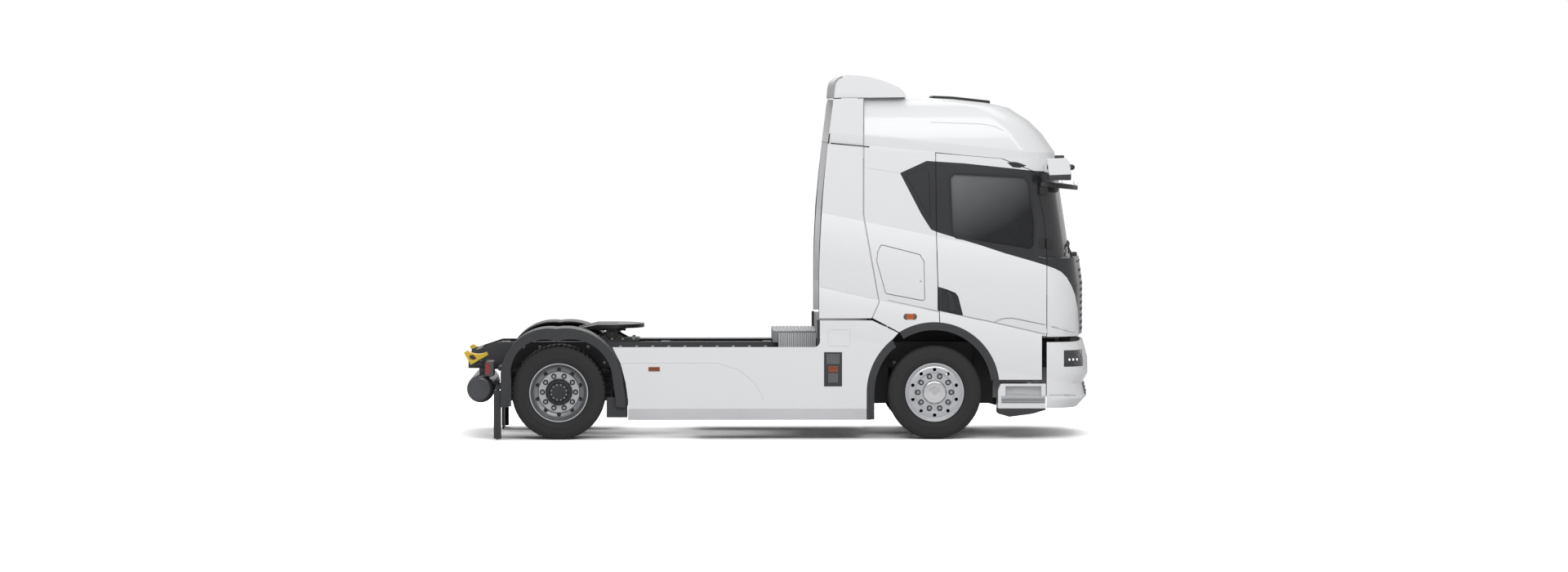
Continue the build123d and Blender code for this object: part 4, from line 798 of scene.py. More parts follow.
# ---------------------------------------------------------------- fifth wheel and catwalk
# A cast steel coupling plate with a worn, greased top, rocking on two pedestals over a base
# plate; ahead of it a ribbed aluminium catwalk is bolted over the rails.
greased = finish(
    "greased_steel", (0.045, 0.043, 0.041), 0.33, metallic=0.7, cloud=(5.0, 0.45), grain=(60.0, 0.3),
)
tread_plate = finish(
    "ribbed_tread", (0.30, 0.305, 0.31), 0.42, metallic=0.6, cloud=(8.0, 0.15), grain=(240.0, 0.2),
)
dress("fifth_wheel_base", casting, 0.004)
dress("fifth_wheel_plate", greased, 0.005)
dress("kingpin_jaw", polished, 0.003)
dress("catwalk", tread_plate, 0.0015)
base_low, base_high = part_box("fifth_wheel_base")
base_top, edge_margin, base_bolt_pitch = 0.9805, 0.035, 0.11
for side, hand in reversed(hands):
    base_bolts = bolt_head(f"coupling_bolts_{hand}", 0.030, 0.016, "z", 1)
    start = (base_low.x + 0.06, side * (base_high.y - edge_margin), base_top)
    repeat(base_bolts, row, zinc, Count=5, Start=start, Step=(base_bolt_pitch, 0, 0))
    placed(base_bolts, "root")
plate_low, plate_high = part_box("fifth_wheel_plate")
release = block(
    "release_handle",
    (plate_high.x - 0.26, plate_low.y + 0.02, plate_high.z - 0.073),
    (plate_high.x - 0.235, -0.06, plate_high.z - 0.055), 0.004,
)
placed(release, "fifth_wheel", casting)

# ---------------------------------------------------------------- cab shell and doors
# Pressed steel panels, welded and sprayed gloss white; the band round the windows, the pillars
# and the whole nose are gloss black mouldings. The doors hang on the front pillars.
white_lacquer = finish(
    "white_lacquer", (0.835, 0.84, 0.845), 0.34, coat=0.45, cloud=(1.2, 0.012), grain=(38.0, 0.02),
)
lacquer_nodes = Nodes(white_lacquer.node_tree)
lacquer_shader = white_lacquer.node_tree.nodes["Principled BSDF"]
lacquer_x, _, lacquer_z = lacquer_nodes.axes(lacquer_nodes.add("ShaderNodeTexCoord", out="Object"))
# height over the side's crease, which falls towards the nose; the panels swell a little
# above and below it
over_crease = lacquer_z + lacquer_x * 0.206 - 1.630
upper = lacquer_nodes.add("ShaderNodeClamp", None, {"Value": over_crease, "Min": 0.0, "Max": 0.75})
lower = lacquer_nodes.add("ShaderNodeClamp", None, {"Value": over_crease, "Min": -0.45, "Max": 0.0})
bulge = upper * (upper * -0.21 + 0.12) + lower * (lower * -0.33 - 0.19)
bulge_bump = lacquer_nodes.add("ShaderNodeBump", None, {"Strength": 1.0, "Distance": 1.0, "Height": bulge})
fine_skin = lacquer_shader.inputs["Normal"].links[0].from_socket
lacquer_nodes.tree.links.new(fine_skin, bulge_bump.socket.node.inputs["Normal"])
lacquer_nodes.feed(bulge_bump, lacquer_shader.inputs["Normal"])
band_black = finish(
    "band_black", (0.021, 0.022, 0.024), 0.24, coat=0.5, cloud=(2.0, 0.15), grain=(60.0, 0.02),
)
grained_black = finish("grained_black", (0.036, 0.037, 0.040), 0.52, cloud=(5.0, 0.18), grain=(420.0, 0.4))
seal_rubber = finish("seal_rubber", (0.014, 0.014, 0.015), 0.6, cloud=(9.0, 0.2), grain=(300.0, 0.1))


def skin_of(*nodes):
    """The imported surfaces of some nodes, ready to be hit by rays."""
    places, faces = [], []
    for node in nodes:
        mesh = frame["nodes"][node].data
        start = len(places)
        places += [vert.co.copy() for vert in mesh.vertices]
        faces += [[start + index for index in face.vertices] for face in mesh.polygons]
    return BVHTree.FromPolygons(places, faces)


def side_line(skin, points, side, step=0.04, closed=False):
    """A line of (x, z) points laid on the skin of one side, as (place, outward) pairs."""
    ends = list(points) + ([points[0]] if closed else [])
    places = []
    for (x_from, z_from), (x_to, z_to) in zip(ends, ends[1:]):
        length = Vector((x_to - x_from, z_to - z_from)).length
        count = max(1, round(length / step))
        for index in range(count):
            share = index / count
            places.append((x_from + share * (x_to - x_from), z_from + share * (z_to - z_from)))
    if not closed:
        places.append(ends[-1])
    depths = []
    for x, z in places:
        hit = skin.ray_cast(Vector((x, side * 3.0, z)), Vector((0, -side, 0)))[0]
        depths.append(abs(hit.y) if hit else 0.0)
    usual = sorted(depths)[len(depths) // 2]
    depths = [depth if abs(depth - usual) < 0.02 else usual for depth in depths]
    return [
        (Vector((x, side * depth, z)), Vector((0, side, 0)))
        for (x, z), depth in zip(places, depths)
    ]


def front_line(skin, points, step=0.05, lift=0.0):
    """A line of (y, z) points laid on the skin of the front."""
    line = []
    for (y_from, z_from), (y_to, z_to) in zip(points, points[1:]):
        count = max(1, round(Vector((y_to - y_from, z_to - z_from)).length / step))
        for index in range(count + 1):
            if index == 0 and line:
                continue
            share = index / count
            y, z = y_from + share * (y_to - y_from), z_from + share * (z_to - z_from)
            hit, normal = skin.ray_cast(Vector((6.0, y, z)), Vector((-1, 0, 0)))[:2]
            if hit:
                outward = normal if normal.x > 0 else -normal
                line.append((hit + outward * lift, outward))
    return line


def run_section(name, line, section, closed=False):
    """A section of (across, outward) points carried along a line."""

    def build(shape):
        rings = []
        count = len(line)
        for index, (place, outward) in enumerate(line):
            before = line[(index - 1) % count][0] if closed or index else place
            after = line[(index + 1) % count][0] if closed or index < count - 1 else place
            across = (after - before).normalized().cross(outward).normalized()
            rings.append([
                shape.verts.new(place + across * reach + outward * rise) for reach, rise in section
            ])
        bridge(shape, rings, closed)

    return solid(name, build)


def mirrored(*half):
    """A whole section from its one half, which may end in a middle point."""
    return half + tuple((-across, rise) for across, rise in reversed(half) if across)


def lay(name, line, section, body, material, edge=0, closed=False):
    """A strip of one section laid along a line and hung on its body."""
    placed(soften(run_section(name, line, section, closed), edge), body, material)


def prism(name, outline, low_y, high_y):
    """A side outline of (x, z) points run across between two widths."""

    def build(shape):
        bridge(shape, [[shape.verts.new((x, y, z)) for x, z in outline] for y in (low_y, high_y)])

    return solid(name, build)


def side_plate(name, side, outline, y_range, edge):
    """A side outline in sheet, its width given as distances out from the middle."""
    return soften(prism(name, outline, *sorted(side * y for y in y_range)), edge)


def dome(name, place, outward, radius, height):
    """A shallow round lens that stands on a surface."""

    def build(shape):
        sideways = outward.orthogonal().normalized()
        upward = outward.cross(sideways)
        # share of the radius, share of the height
        levels = ((1.0, -0.2), (1.0, 0.25), (0.9, 0.6), (0.65, 0.88), (0.3, 1.0))
        bridge(shape, [
            [
                shape.verts.new(
                    place + outward * (rise * height)
                    + (sideways * cos(turn) + upward * sin(turn)) * radius * share
                )
                for turn in turn_steps(24)
            ]
            for share, rise in levels
        ])

    return soften(solid(name, build), 0)


groove = mirrored((-0.0055, 0.004), (-0.0035, -0.006))


def groove_tool(skin, open_lines, loops=(), step=0.04):
    """One tool that cuts grooves on both sides, along open lines and loops of (x, z) points."""
    tools = []
    for side in (-1, 1):
        for points in open_lines:
            line = side_line(skin, points, side, step)
            tools.append(run_section("groove_cutter", line, groove))
        for points in loops:
            line = side_line(skin, points, side, step, True)
            tools.append(run_section("groove_cutter", line, groove, True))
    return join("groove_cutters", tools)


cab_skin = skin_of("cab_body", "cab_side_panels", "door_left", "door_right", "cab_roof")

band_outline = (
    (1.221, 2.692), (1.489, 2.815), (1.864, 2.791), (2.565, 2.716), (2.68, 2.708), (2.853, 2.683),
    (3.4, 2.66), (3.4, 0.9), (3.07, 0.9), (3.051, 1.142), (3.035, 1.307), (3.002, 1.455), (2.96, 1.554),
    (2.911, 1.636), (2.853, 1.694), (2.787, 1.727), (2.697, 1.76), (2.565, 1.801), (2.276, 1.884),
    (2.029, 1.966), (1.782, 2.04), (1.592, 2.098), (1.534, 2.123), (1.435, 2.279),
)
handle_outline = (
    (1.600, 1.548), (1.700, 1.518), (1.782, 1.484), (1.810, 1.447), (1.860, 1.250), (1.600, 1.306),
)
band = join("band_zones", [
    prism("band_zone", band_outline, -1.6, 1.6),
    prism("handle_zone", handle_outline, 1.17, 1.6),
    prism("handle_zone", handle_outline, -1.6, -1.17),
])

# body creases: start and run of each as (x, z), on the side panels, doors and front corners
creases = (
    ((0.998, 1.414), (1.6, 1.298), (1.864, 1.245), (2.153, 1.191), (2.655, 1.076), (2.993, 1.002)),
    ((2.177, 1.2), (2.26, 1.224), (2.359, 1.228), (2.697, 1.158), (3.02, 1.08)),
    ((0.85, 2.749), (1.204, 2.692)),
)
crease_tool = groove_tool(cab_skin, creases)
quarter_outline = ((1.283, 2.655), (1.43, 2.728), (1.497, 2.722), (1.510, 2.690), (1.527, 2.235))
quarter_tool = groove_tool(cab_skin, (), (quarter_outline,))


def white_and_band(node):
    """Splits a painted part into its white panel and its black moulding."""
    panel = cut(joined_copy(node, f"{node}_white"), crease_tool, "DIFFERENCE", True)
    moulding = joined_copy(node, f"{node}_band")
    cut(panel, band, "DIFFERENCE", True)
    cut(moulding, band, "INTERSECT", True)
    if node == "cab_side_panels":
        cut(moulding, quarter_tool, "DIFFERENCE", True)
    stand_in(panel, node, white_lacquer, 0.0022)
    stand_in(moulding, node, band_black, 0.0022)


for node in ("cab_body", "cab_side_panels", "door_left", "door_right"):
    white_and_band(node)
for tool in (band, crease_tool, quarter_tool):
    bpy.data.objects.remove(tool)
dress("cab_rear_wall", white_lacquer, 0.003)
lever_outline = (
    (1.700, 1.480), (1.752, 1.458), (1.790, 1.300), (1.766, 1.292), (1.720, 1.430), (1.700, 1.440),
)
for side, hand in hands:
    dress(f"locker_lid_{hand}", white_lacquer, 0.003)
    lever = side_plate(f"door_lever_{hand}", side, lever_outline, (1.226, 1.2425), 0.003)
    placed(lever, f"door_{hand}", band_black)

amber_bright = finish(
    "amber_bright", (0.50, 0.105, 0.006), 0.14, coat=0.8, cloud=(30.0, 0.2), grain=(90.0, 0.3),
)
for side, hand in hands:
    marker_line = side_line(cab_skin, ((1.289, 1.243), (1.361, 1.243)), side)
    marker_section = mirrored((-0.031, -0.004), (-0.028, 0.0045), (0.0, 0.0065))
    lay(f"side_marker_{hand}", marker_line, marker_section, "cab", amber_bright)
    for end_name, index in (("rear", 0), ("front", -1)):
        cap = dome(f"marker_end_{end_name}_{hand}", *marker_line[index], 0.0325, 0.0045)
        placed(cap, "cab", lamp_housing)
    lock = peg(f"locker_lock_{hand}", (1.43, 1.60), 0.010, side * 1.2445 - 0.001, side * 1.2445 + 0.001)
    placed(soften(lock, 0), f"locker_lid_{hand}", polished)

# ---------------------------------------------------------------- side windows and windscreen
# Tinted safety glass: the door panes are held by rubber channels, the windscreen is bonded in,
# and two wipers park along its foot.
glass = bpy.data.materials.new("tinted_glass")
glass.use_nodes = True
glass_nodes = Nodes(glass.node_tree)
glass_shader = glass.node_tree.nodes["Principled BSDF"]
glass_shader.inputs["Roughness"].default_value = 0.04
glass_shader.inputs["IOR"].default_value = 1.5
glass_shader.inputs["Coat Weight"].default_value = 0.4
glass_place = glass_nodes.add("ShaderNodeTexCoord", out="Object")
pane_x, _, pane_z = glass_nodes.axes(glass_place)
# paler towards the pane's upper rear: a painted reflection of the bright sky, with a random mottle
painted_reflection = (pane_z - 1.9) * 0.9 - (pane_x - 1.72) * 0.55 + glass_nodes.noise(glass_place, 1.6, 2.0) * 0.16
glass_nodes.feed(
    glass_nodes.mix(painted_reflection, (0.016, 0.017, 0.019, 1), (0.27, 0.28, 0.285, 1)),
    glass_shader.inputs["Base Color"],
)
glass_nodes.feed(0.80 + painted_reflection * 0.1, glass_shader.inputs["Alpha"])
for hand in ("left", "right"):
    dress(f"door_glass_{hand}", glass, 0.001)
dress("windscreen", glass, 0.001)

pane_outline = (
    (1.749, 2.085), (1.727, 2.64), (1.768, 2.683), (2.468, 2.650), (2.512, 2.612), (2.578, 2.205),
    (2.573, 1.955), (2.535, 1.918), (2.029, 1.999), (1.79, 2.046),
)
seal_section = ((-0.019, -0.034), (-0.018, 0.003), (-0.005, 0.0042), (0.006, 0.001), (0.006, -0.034))
for side, hand in hands:
    seal_line = [(Vector((x, side * 1.2405, z)), Vector((0, side, 0))) for x, z in pane_outline]
    lay(
        f"pane_seal_{hand}", seal_line, seal_section, f"door_{hand}", seal_rubber,
        closed=True,
    )

screen_skin = skin_of("windscreen", "cab_body")
arm_section = mirrored((-0.009, -0.006), (-0.009, 0.004), (0.0, 0.007))
blade_section = (
    (-0.004, -0.008), (-0.011, 0.002), (-0.004, 0.010), (0.006, 0.010), (0.010, 0.0), (0.003, -0.008),
)
for index, pivot_y in enumerate((-0.86, 0.02)):
    arm_points = ((pivot_y, 1.875), (pivot_y + 0.10, 1.93), (pivot_y + 0.42, 1.965))
    blade_points = ((pivot_y + 0.05, 1.948), (pivot_y + 0.80, 1.978))
    for name, line, section in (
        ("wiper_arm", front_line(screen_skin, arm_points, 0.06, 0.018), arm_section),
        ("wiper_blade", front_line(screen_skin, blade_points, 0.05, 0.008), blade_section),
    ):
        lay(f"{name}_{index + 1}", line, section, "cab", grained_black)
    boss = block(
        f"wiper_boss_{index + 1}",
        (2.965, pivot_y - 0.028, 1.842), (3.035, pivot_y + 0.028, 1.888), 0.010,
    )
    placed(boss, "cab", grained_black)

# ---------------------------------------------------------------- nose panel
# The lid over the service points is a gloss black moulding; satin slats run across it and
# follow its curve, clipped in from behind.
dress("front_lid", band_black, 0.004)
lid_skin = skin_of("front_lid")
slat_section = mirrored((-0.017, -0.004), (-0.015, 0.0012), (0.0, 0.0022))
lowest_slat, slat_pitch = 1.105, 0.066
for index in range(10):
    height = lowest_slat + slat_pitch * index
    slat_line = front_line(lid_skin, ((-0.80, height), (0.80, height)))
    lay(f"nose_slat_{index + 1}", slat_line, slat_section, "front_lid", seal_rubber)

# ---------------------------------------------------------------- roof, spoiler and deflectors
# A moulded high roof in white; a shallow hollow runs along its shoulder and on across the
# side deflectors. The deflectors' tails are dark rubber; the spoiler's rear edge is a grey strip
# whose grey is painted shade on the edge's thickness.

# the hollow's rear and front ends, each as its place along the cab and its lower and upper lines
shoulder = ((0.30, 3.004, 3.128), (2.90, 2.775, 2.880))
hollow_depth, hollow_cuts, hollow_end = 0.016, 10, 2.75


def hollow_shoulder(piece):
    """Presses a shallow hollow between two falling lines along a piece's outer sides."""
    (x_low, low_rear, high_rear), (x_high, low_front, high_front) = shoulder
    shape = bmesh.new()
    shape.from_mesh(piece.data)
    for index in range(hollow_cuts + 1):
        share = index / hollow_cuts
        z_rear = low_rear + share * (high_rear - low_rear)
        z_front = low_front + share * (high_front - low_front)
        slope = Vector((z_rear - z_front, 0, x_high - x_low)).normalized()
        bmesh.ops.bisect_plane(
            shape, geom=shape.verts[:] + shape.edges[:] + shape.faces[:],
            plane_co=(x_low, 0, z_rear), plane_no=slope, dist=1e-5,
        )
    for vert in shape.verts:
        run = (vert.co.x - x_low) / (x_high - x_low)
        low = low_rear + run * (low_front - low_rear)
        high = high_rear + run * (high_front - high_rear)
        share = (vert.co.z - low) / (high - low)
        if 0 < share < 1 and abs(vert.co.y) > 1.19 and vert.co.x < hollow_end:
            fade = min(1.0, (hollow_end - vert.co.x) / 0.25)
            lean = min(1.0, share * hollow_cuts) * (1 - share) ** 1.2
            vert.co.y -= hollow_depth * fade * lean * (1 if vert.co.y > 0 else -1)
    shape.to_mesh(piece.data)
    shape.free()


roof_skin = skin_of("cab_roof", "side_deflectors")
for node, crease, step, edge in (
    ("cab_roof", ((1.534, 3.203), (2.029, 3.186), (2.153, 3.17), (2.268, 3.12)), 0.03, 0.0025),
    ("side_deflectors", ((0.42, 1.542), (1.02, 1.41)), 0.04, 0.003),
):
    piece = cut(joined_copy(node), groove_tool(roof_skin, (crease,), step=step))
    hollow_shoulder(piece)
    stand_in(piece, node, white_lacquer, edge)
dress("roof_spoiler", white_lacquer, 0.003)
# the grey strips along the doors' and panels' creases and folds are painted shade where the surface turns
crease_painted_shade = finish("crease_painted_shade", (0.30, 0.303, 0.31), 0.45, cloud=(9.0, 0.1), grain=(300.0, 0.1))
seam_section = mirrored((-0.005, -0.004), (-0.0045, 0.0018))
crease_section = mirrored((-0.003, -0.004), (-0.0025, 0.001))
for side, hand in hands:
    for part, skin, line in (
        ("roof", cab_skin, ((1.01, 2.946), (2.25, 2.838))),
        ("deflector", roof_skin, ((0.52, 2.993), (0.91, 2.957))),
    ):
        seam_line = side_line(skin, line, side)
        lay(f"{part}_seam_{hand}", seam_line, seam_section, "cab", seal_rubber)
    door_skin = skin_of(f"door_{hand}")
    for part, body, skin, line in (
        ("door_crease", f"door_{hand}", door_skin, ((1.84, 1.257), (2.690, 1.063))),
        (
            "door_fold", f"door_{hand}", door_skin,
            ((2.174, 1.189), (2.258, 1.219), (2.331, 1.230), (2.690, 1.163)),
        ),
        ("panel_crease", "cab", cab_skin, ((1.10, 1.410), (1.622, 1.296))),
        ("nose_fold", "cab", cab_skin, ((2.722, 1.147), (2.99, 1.078))),
    ):
        # each crease or fold gets a grey strip of painted shade
        crease_line = side_line(skin, line, side)
        lay(f"{part}_{hand}", crease_line, crease_section, body, crease_painted_shade)

tail_points = (
    (0.405, 1.232), (0.405, 1.70), (0.409, 1.95), (0.427, 2.33), (0.462, 2.70), (0.502, 3.05),
    (0.546, 3.40),
)
tail_section = mirrored((-0.0165, -0.010), (-0.0155, 0.001), (0.0, 0.003))
for side, hand in hands:
    tail_line = [(Vector((x - 0.001, side * 1.2275, z)), Vector((-1, 0, 0))) for x, z in tail_points]
    lay(f"deflector_tail_{hand}", tail_line, tail_section, "cab", seal_rubber)

spoiler_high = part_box("roof_spoiler")[1]
edge_points = ((0.545, 3.452), (0.556, 3.56), (0.566, 3.608), (0.592, 3.640), (0.640, 3.666))
edge_line = []
for index, (x, z) in enumerate(edge_points):
    outward = Vector((-1, 0, 0.15 if index < 2 else 0.9)).normalized()
    edge_line.append((x, z, outward))


def spoiler_tail(shape):
    inner, outer = [], []
    reach = spoiler_high.y + 0.004
    for y in (-reach, reach):
        inner.append([shape.verts.new((x + 0.010, y, z - 0.006)) for x, z, _ in edge_line])
        outer.append([shape.verts.new(Vector((x, y, z)) + outward * 0.007) for x, z, outward in edge_line])
    for ring_a, ring_b in ((inner[0], inner[1]), (outer[0], outer[1])):
        for index in range(len(edge_line) - 1):
            shape.faces.new((ring_a[index], ring_a[index + 1], ring_b[index + 1], ring_b[index]))
    for row_index in (0, 1):
        for index in range(len(edge_line) - 1):
            shape.faces.new((
                inner[row_index][index], inner[row_index][index + 1],
                outer[row_index][index + 1], outer[row_index][index],
            ))
    for index in (0, len(edge_line) - 1):
        shape.faces.new((inner[0][index], inner[1][index], outer[1][index], outer[0][index]))


# a grey strip over the spoiler's rear edge: painted shade on the edge's thickness
tail_edge = soften(solid("spoiler_tail_edge", spoiler_tail), 0.003)
spoiler_edge_shade_grey = finish("spoiler_edge_shade_grey", (0.36, 0.36, 0.38), 0.45, cloud=(3.0, 0.1), grain=(300.0, 0.15))
placed(tail_edge, "cab", spoiler_edge_shade_grey)
for side, hand in hands:
    fit_blocks(
        side, hand, "cab",
        ("spoiler_stay", (0.60, 0.64), (0.70, 0.76), (3.42, 3.62), 0.006, "dark_plastic", grained_black),
    )

# hatch in the roof, its pressed edge standing a little proud
top_skin = skin_of("cab_roof")
hatch_corners = ((1.60, -0.33), (2.16, -0.33), (2.16, 0.33), (1.60, 0.33))
hatch_line = []
for (x_from, y_from), (x_to, y_to) in zip(hatch_corners, hatch_corners[1:] + hatch_corners[:1]):
    for index in range(10):
        x = x_from + (x_to - x_from) * index / 10
        y = y_from + (y_to - y_from) * index / 10
        hit, normal = top_skin.ray_cast(Vector((x, y, 6.0)), Vector((0, 0, -1)))[:2]
        hatch_line.append((hit, normal if normal.z > 0 else -normal))
hatch_section = mirrored((-0.020, -0.006), (-0.020, 0.018), (-0.012, 0.027))
lay("roof_hatch_seal", hatch_line, hatch_section, "cab", seal_rubber, closed=True)

# ---------------------------------------------------------------- visor, camera pods and lamps
# A smoked acrylic visor on three stays, rear-view camera pods on short arms in place of
# mirrors, and position lamps let into the visor.
visor_middle, visor_growth = 2.576, 1.6
droop_start, droop_slope = 2.74, 0.13
visor = joined_copy("sun_visor")
for vert in visor.data.vertices:
    droop = max(0.0, vert.co.x - droop_start) * droop_slope
    vert.co.z = visor_middle + (vert.co.z - visor_middle) * visor_growth - droop
stand_in(visor, "sun_visor", grained_black, 0.008)
dress("camera_pods", white_lacquer, 0.026)

pod_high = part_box("camera_pods")[1]
for side, hand in hands:
    foot_width = (1.262, pod_high.y - 0.012)
    fit_blocks(
        side, hand, "cab",
        ("pod_foot", (2.706, 2.934), foot_width, (2.622, 2.694), 0.012, "dark_plastic", grained_black),
        ("pod_lug", (2.775, 2.868), (1.30, 1.40), (2.838, 2.872), 0.008, "dark_plastic", grained_black),
    )
    for name, x, z, ahead, radius, height in (
        ("pod_eye", 2.930, 2.752, 1, 0.030, 0.044), ("pod_rear_eye", 2.698, 2.755, -1, 0.026, 0.008),
    ):
        eye = dome(f"{name}_{hand}", Vector((x, side * 1.40, z)), Vector((ahead, 0, 0)), radius, height)
        placed(eye, "cab", band_black)
    for level, x_range, z_range in ((1, (2.628, 2.716), (2.475, 2.555)), (2, (2.700, 2.762), (1.935, 2.028))):
        grip = side_block(f"pillar_bracket_{level}_{hand}", side, x_range, (1.225, 1.247), z_range, 0.008)
        placed(grip, "cab", seal_rubber)
for side, hand in hands:
    fit_blocks(side, hand, f"door_{hand}", (
        "hinge_cover", (2.625, 2.684), (1.230, 1.2455), (1.935, 2.028), 0.006, "dark_plastic", seal_rubber,
    ))
arrow_outline = ((2.301, 2.797), (2.36, 2.806), (2.41, 2.80), (2.499, 2.768), (2.43, 2.744), (2.36, 2.750))
for side, hand in hands:
    arrow = side_plate(f"gutter_end_{hand}", side, arrow_outline, (1.233, 1.2415), 0.003)
    placed(arrow, f"door_{hand}", band_black)
visor_skin = skin_of("sun_visor")
for index, y in enumerate((-0.92, -0.31, 0.31, 0.92)):
    spot = front_line(visor_skin, ((y, visor_middle), (y + 0.001, visor_middle)))[0]
    lens = dome(f"visor_lamp_{index + 1}", *spot, 0.011, 0.006)
    placed(lens, "cab", clear_lens)

# ---------------------------------------------------------------- side skirts
# White moulded panels clipped to brackets on the frame, with a light grey band of painted shade along
# the foot, a marker lamp, a filler flap and a dark side-lamp panel near the front.
# the skirts' foot band is the white moulding in light grey: painted shade along the foot
skirt_foot_shade_grey = finish("skirt_foot_shade_grey", (0.62, 0.62, 0.635), 0.5, cloud=(3.0, 0.1), grain=(300.0, 0.15))
# also used for the bumper's crease strip, where it is painted shade
grey_hatch_and_crease_shade = finish("grey_hatch_and_crease_shade", (0.115, 0.118, 0.122), 0.4, cloud=(9.0, 0.15), grain=(300.0, 0.2))
skirt_skin = skin_of("side_skirts")
skirt_crease = ((-1.60, 0.774), (-0.626, 0.774), (-0.403, 0.705), (-0.246, 0.573), (-0.156, 0.408))
flap_outline = (
    (0.512, 0.944), (0.702, 0.944), (0.718, 0.960), (0.718, 1.093), (0.702, 1.109), (0.512, 1.109),
    (0.496, 1.093), (0.496, 0.960),
)
foot_zone = prism("skirt_foot_zone", ((-2.0, 0.1), (1.2, 0.1), (1.2, 0.313), (-2.0, 0.313)), -1.5, 1.5)
skirts = joined_copy("side_skirts", "side_skirts_white")
cut(skirts, groove_tool(skirt_skin, (skirt_crease,), (flap_outline,)))
cut(skirts, foot_zone, "DIFFERENCE", True)
# the foot band, cut from the same moulding, takes the painted shade
foot_shade_band = cut(joined_copy("side_skirts", "side_skirt_foot_shade"), foot_zone, "INTERSECT")
stand_in(skirts, "side_skirts", white_lacquer, 0.003)
stand_in(foot_shade_band, "side_skirts", skirt_foot_shade_grey, 0.003)
skirt_face = 1.245
# fitting, its x and z ranges, sink into the skirt and rise over it, edge, slot, finish
skirt_fittings = (
    ("skirt_marker", (-1.318, -1.203), (0.693, 0.738), 0.004, 0.006, 0.004, "lamp_red", amber_deep),
    ("lamp_panel", (0.454, 0.636), (0.540, 0.886), 0.004, 0.004, 0.003, "dark_plastic", grained_black),
    ("panel_hatch", (0.480, 0.612), (0.765, 0.868), 0.001, 0.007, 0.003, "dark_plastic", grey_hatch_and_crease_shade),
    ("panel_amber", (0.496, 0.596), (0.684, 0.744), 0.001, 0.008, 0.003, "lamp_red", amber_deep),
    ("panel_lens", (0.496, 0.596), (0.578, 0.674), 0.001, 0.008, 0.003, "lamp_clear", grey_hatch_and_crease_shade),
)
for side, hand in hands:
    for name, x_range, z_range, sink, rise, edge, slot, material in skirt_fittings:
        y_range = (skirt_face - sink, skirt_face + rise)
        fit_blocks(side, hand, "root", (name, x_range, y_range, z_range, edge, slot, material))

# ---------------------------------------------------------------- wheel guards and arch trims
# Blow-moulded grey polyethylene mudguards on tubes from the frame, and rigid trims round the
# cab's arches.
for node in ("wheel_guards", "front_guards", "arch_trims"):
    dress(node, grained_black, 0.005)


def arc_through(start, middle, end):
    """Points along the circle through three (x, z) points."""
    (ax, az), (bx, bz), (cx, cz) = start, middle, end
    turn = 2 * (ax * (bz - cz) + bx * (cz - az) + cx * (az - bz))
    a2, b2, c2 = ax * ax + az * az, bx * bx + bz * bz, cx * cx + cz * cz
    centre_x = (a2 * (bz - cz) + b2 * (cz - az) + c2 * (az - bz)) / turn
    centre_z = (a2 * (cx - bx) + b2 * (ax - cx) + c2 * (bx - ax)) / turn
    first = Vector((ax - centre_x, az - centre_z))
    sweep, count = first.angle_signed(Vector((cx - centre_x, cz - centre_z))), 14
    return [
        (
            centre_x + first.x * cos(turn) + first.y * sin(turn),
            centre_z - first.x * sin(turn) + first.y * cos(turn),
        )
        for turn in (sweep * step / count for step in range(count + 1))
    ]


def guard_line(rear_in, top_in, front_in):
    """The rear mudguard's side outline, drawn in from its outer edge."""
    rear, front, foot = rear_x - 0.585 + rear_in, rear_x + 0.645 - front_in, 0.34
    crest = (rear_x - 0.025, 1.122 - top_in)
    line = [(rear, foot), (rear, 0.62)]
    line += arc_through((rear, 0.62), (rear_x - 0.415 + rear_in * 0.4, 1.010 - top_in * 0.62), crest)[1:]
    line += arc_through(crest, (rear_x + 0.415 - front_in * 0.4, 1.015 - top_in * 0.62), (front, 0.62))[1:]
    return line + [(front + 0.03, foot + 0.07), (front + 0.03, foot)]


rib_silver = finish(
    "rib_silver", (0.74, 0.745, 0.75), 0.5, metallic=0.1, cloud=(9.0, 0.05), grain=(300.0, 0.06),
)
arch_middle = (1.5658, 0.5258)


def arc_band(centre, degrees, steps, outer, inner, ahead=1):
    """The outline of a band between two arcs: out along the outer one, back along the inner."""
    start, end = degrees
    there = range(steps + 1)
    return [
        (centre[0] + ahead * radius * cos(angle), centre[1] + radius * sin(angle))
        for radius, order in ((outer, there), (inner, there[::-1]))
        for angle in (radians(start + (end - start) * step / steps) for step in order)
    ]


mudguard_outline = guard_line(0.055, 0.055, 0.055) + guard_line(0.108, 0.130, 0.100)[::-1]
arch_outline = arc_band(arch_middle, (122, 6.95), 20, 0.622, 0.582)
guard_outline = arc_band((front_x, axle_z), (0, 50), 10, 0.655, 0.612, -1)
guard_outline = [(front_x - 0.655, 0.205)] + guard_outline + [(front_x - 0.612, 0.205)]
# lip, its body, its outline
edge_lips = (
    ("mudguard_lip", "root", mudguard_outline),
    ("arch_lip", frame["nodes"]["arch_trims"]["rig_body"], arch_outline),
    ("front_guard_lip", "root", guard_outline),
)
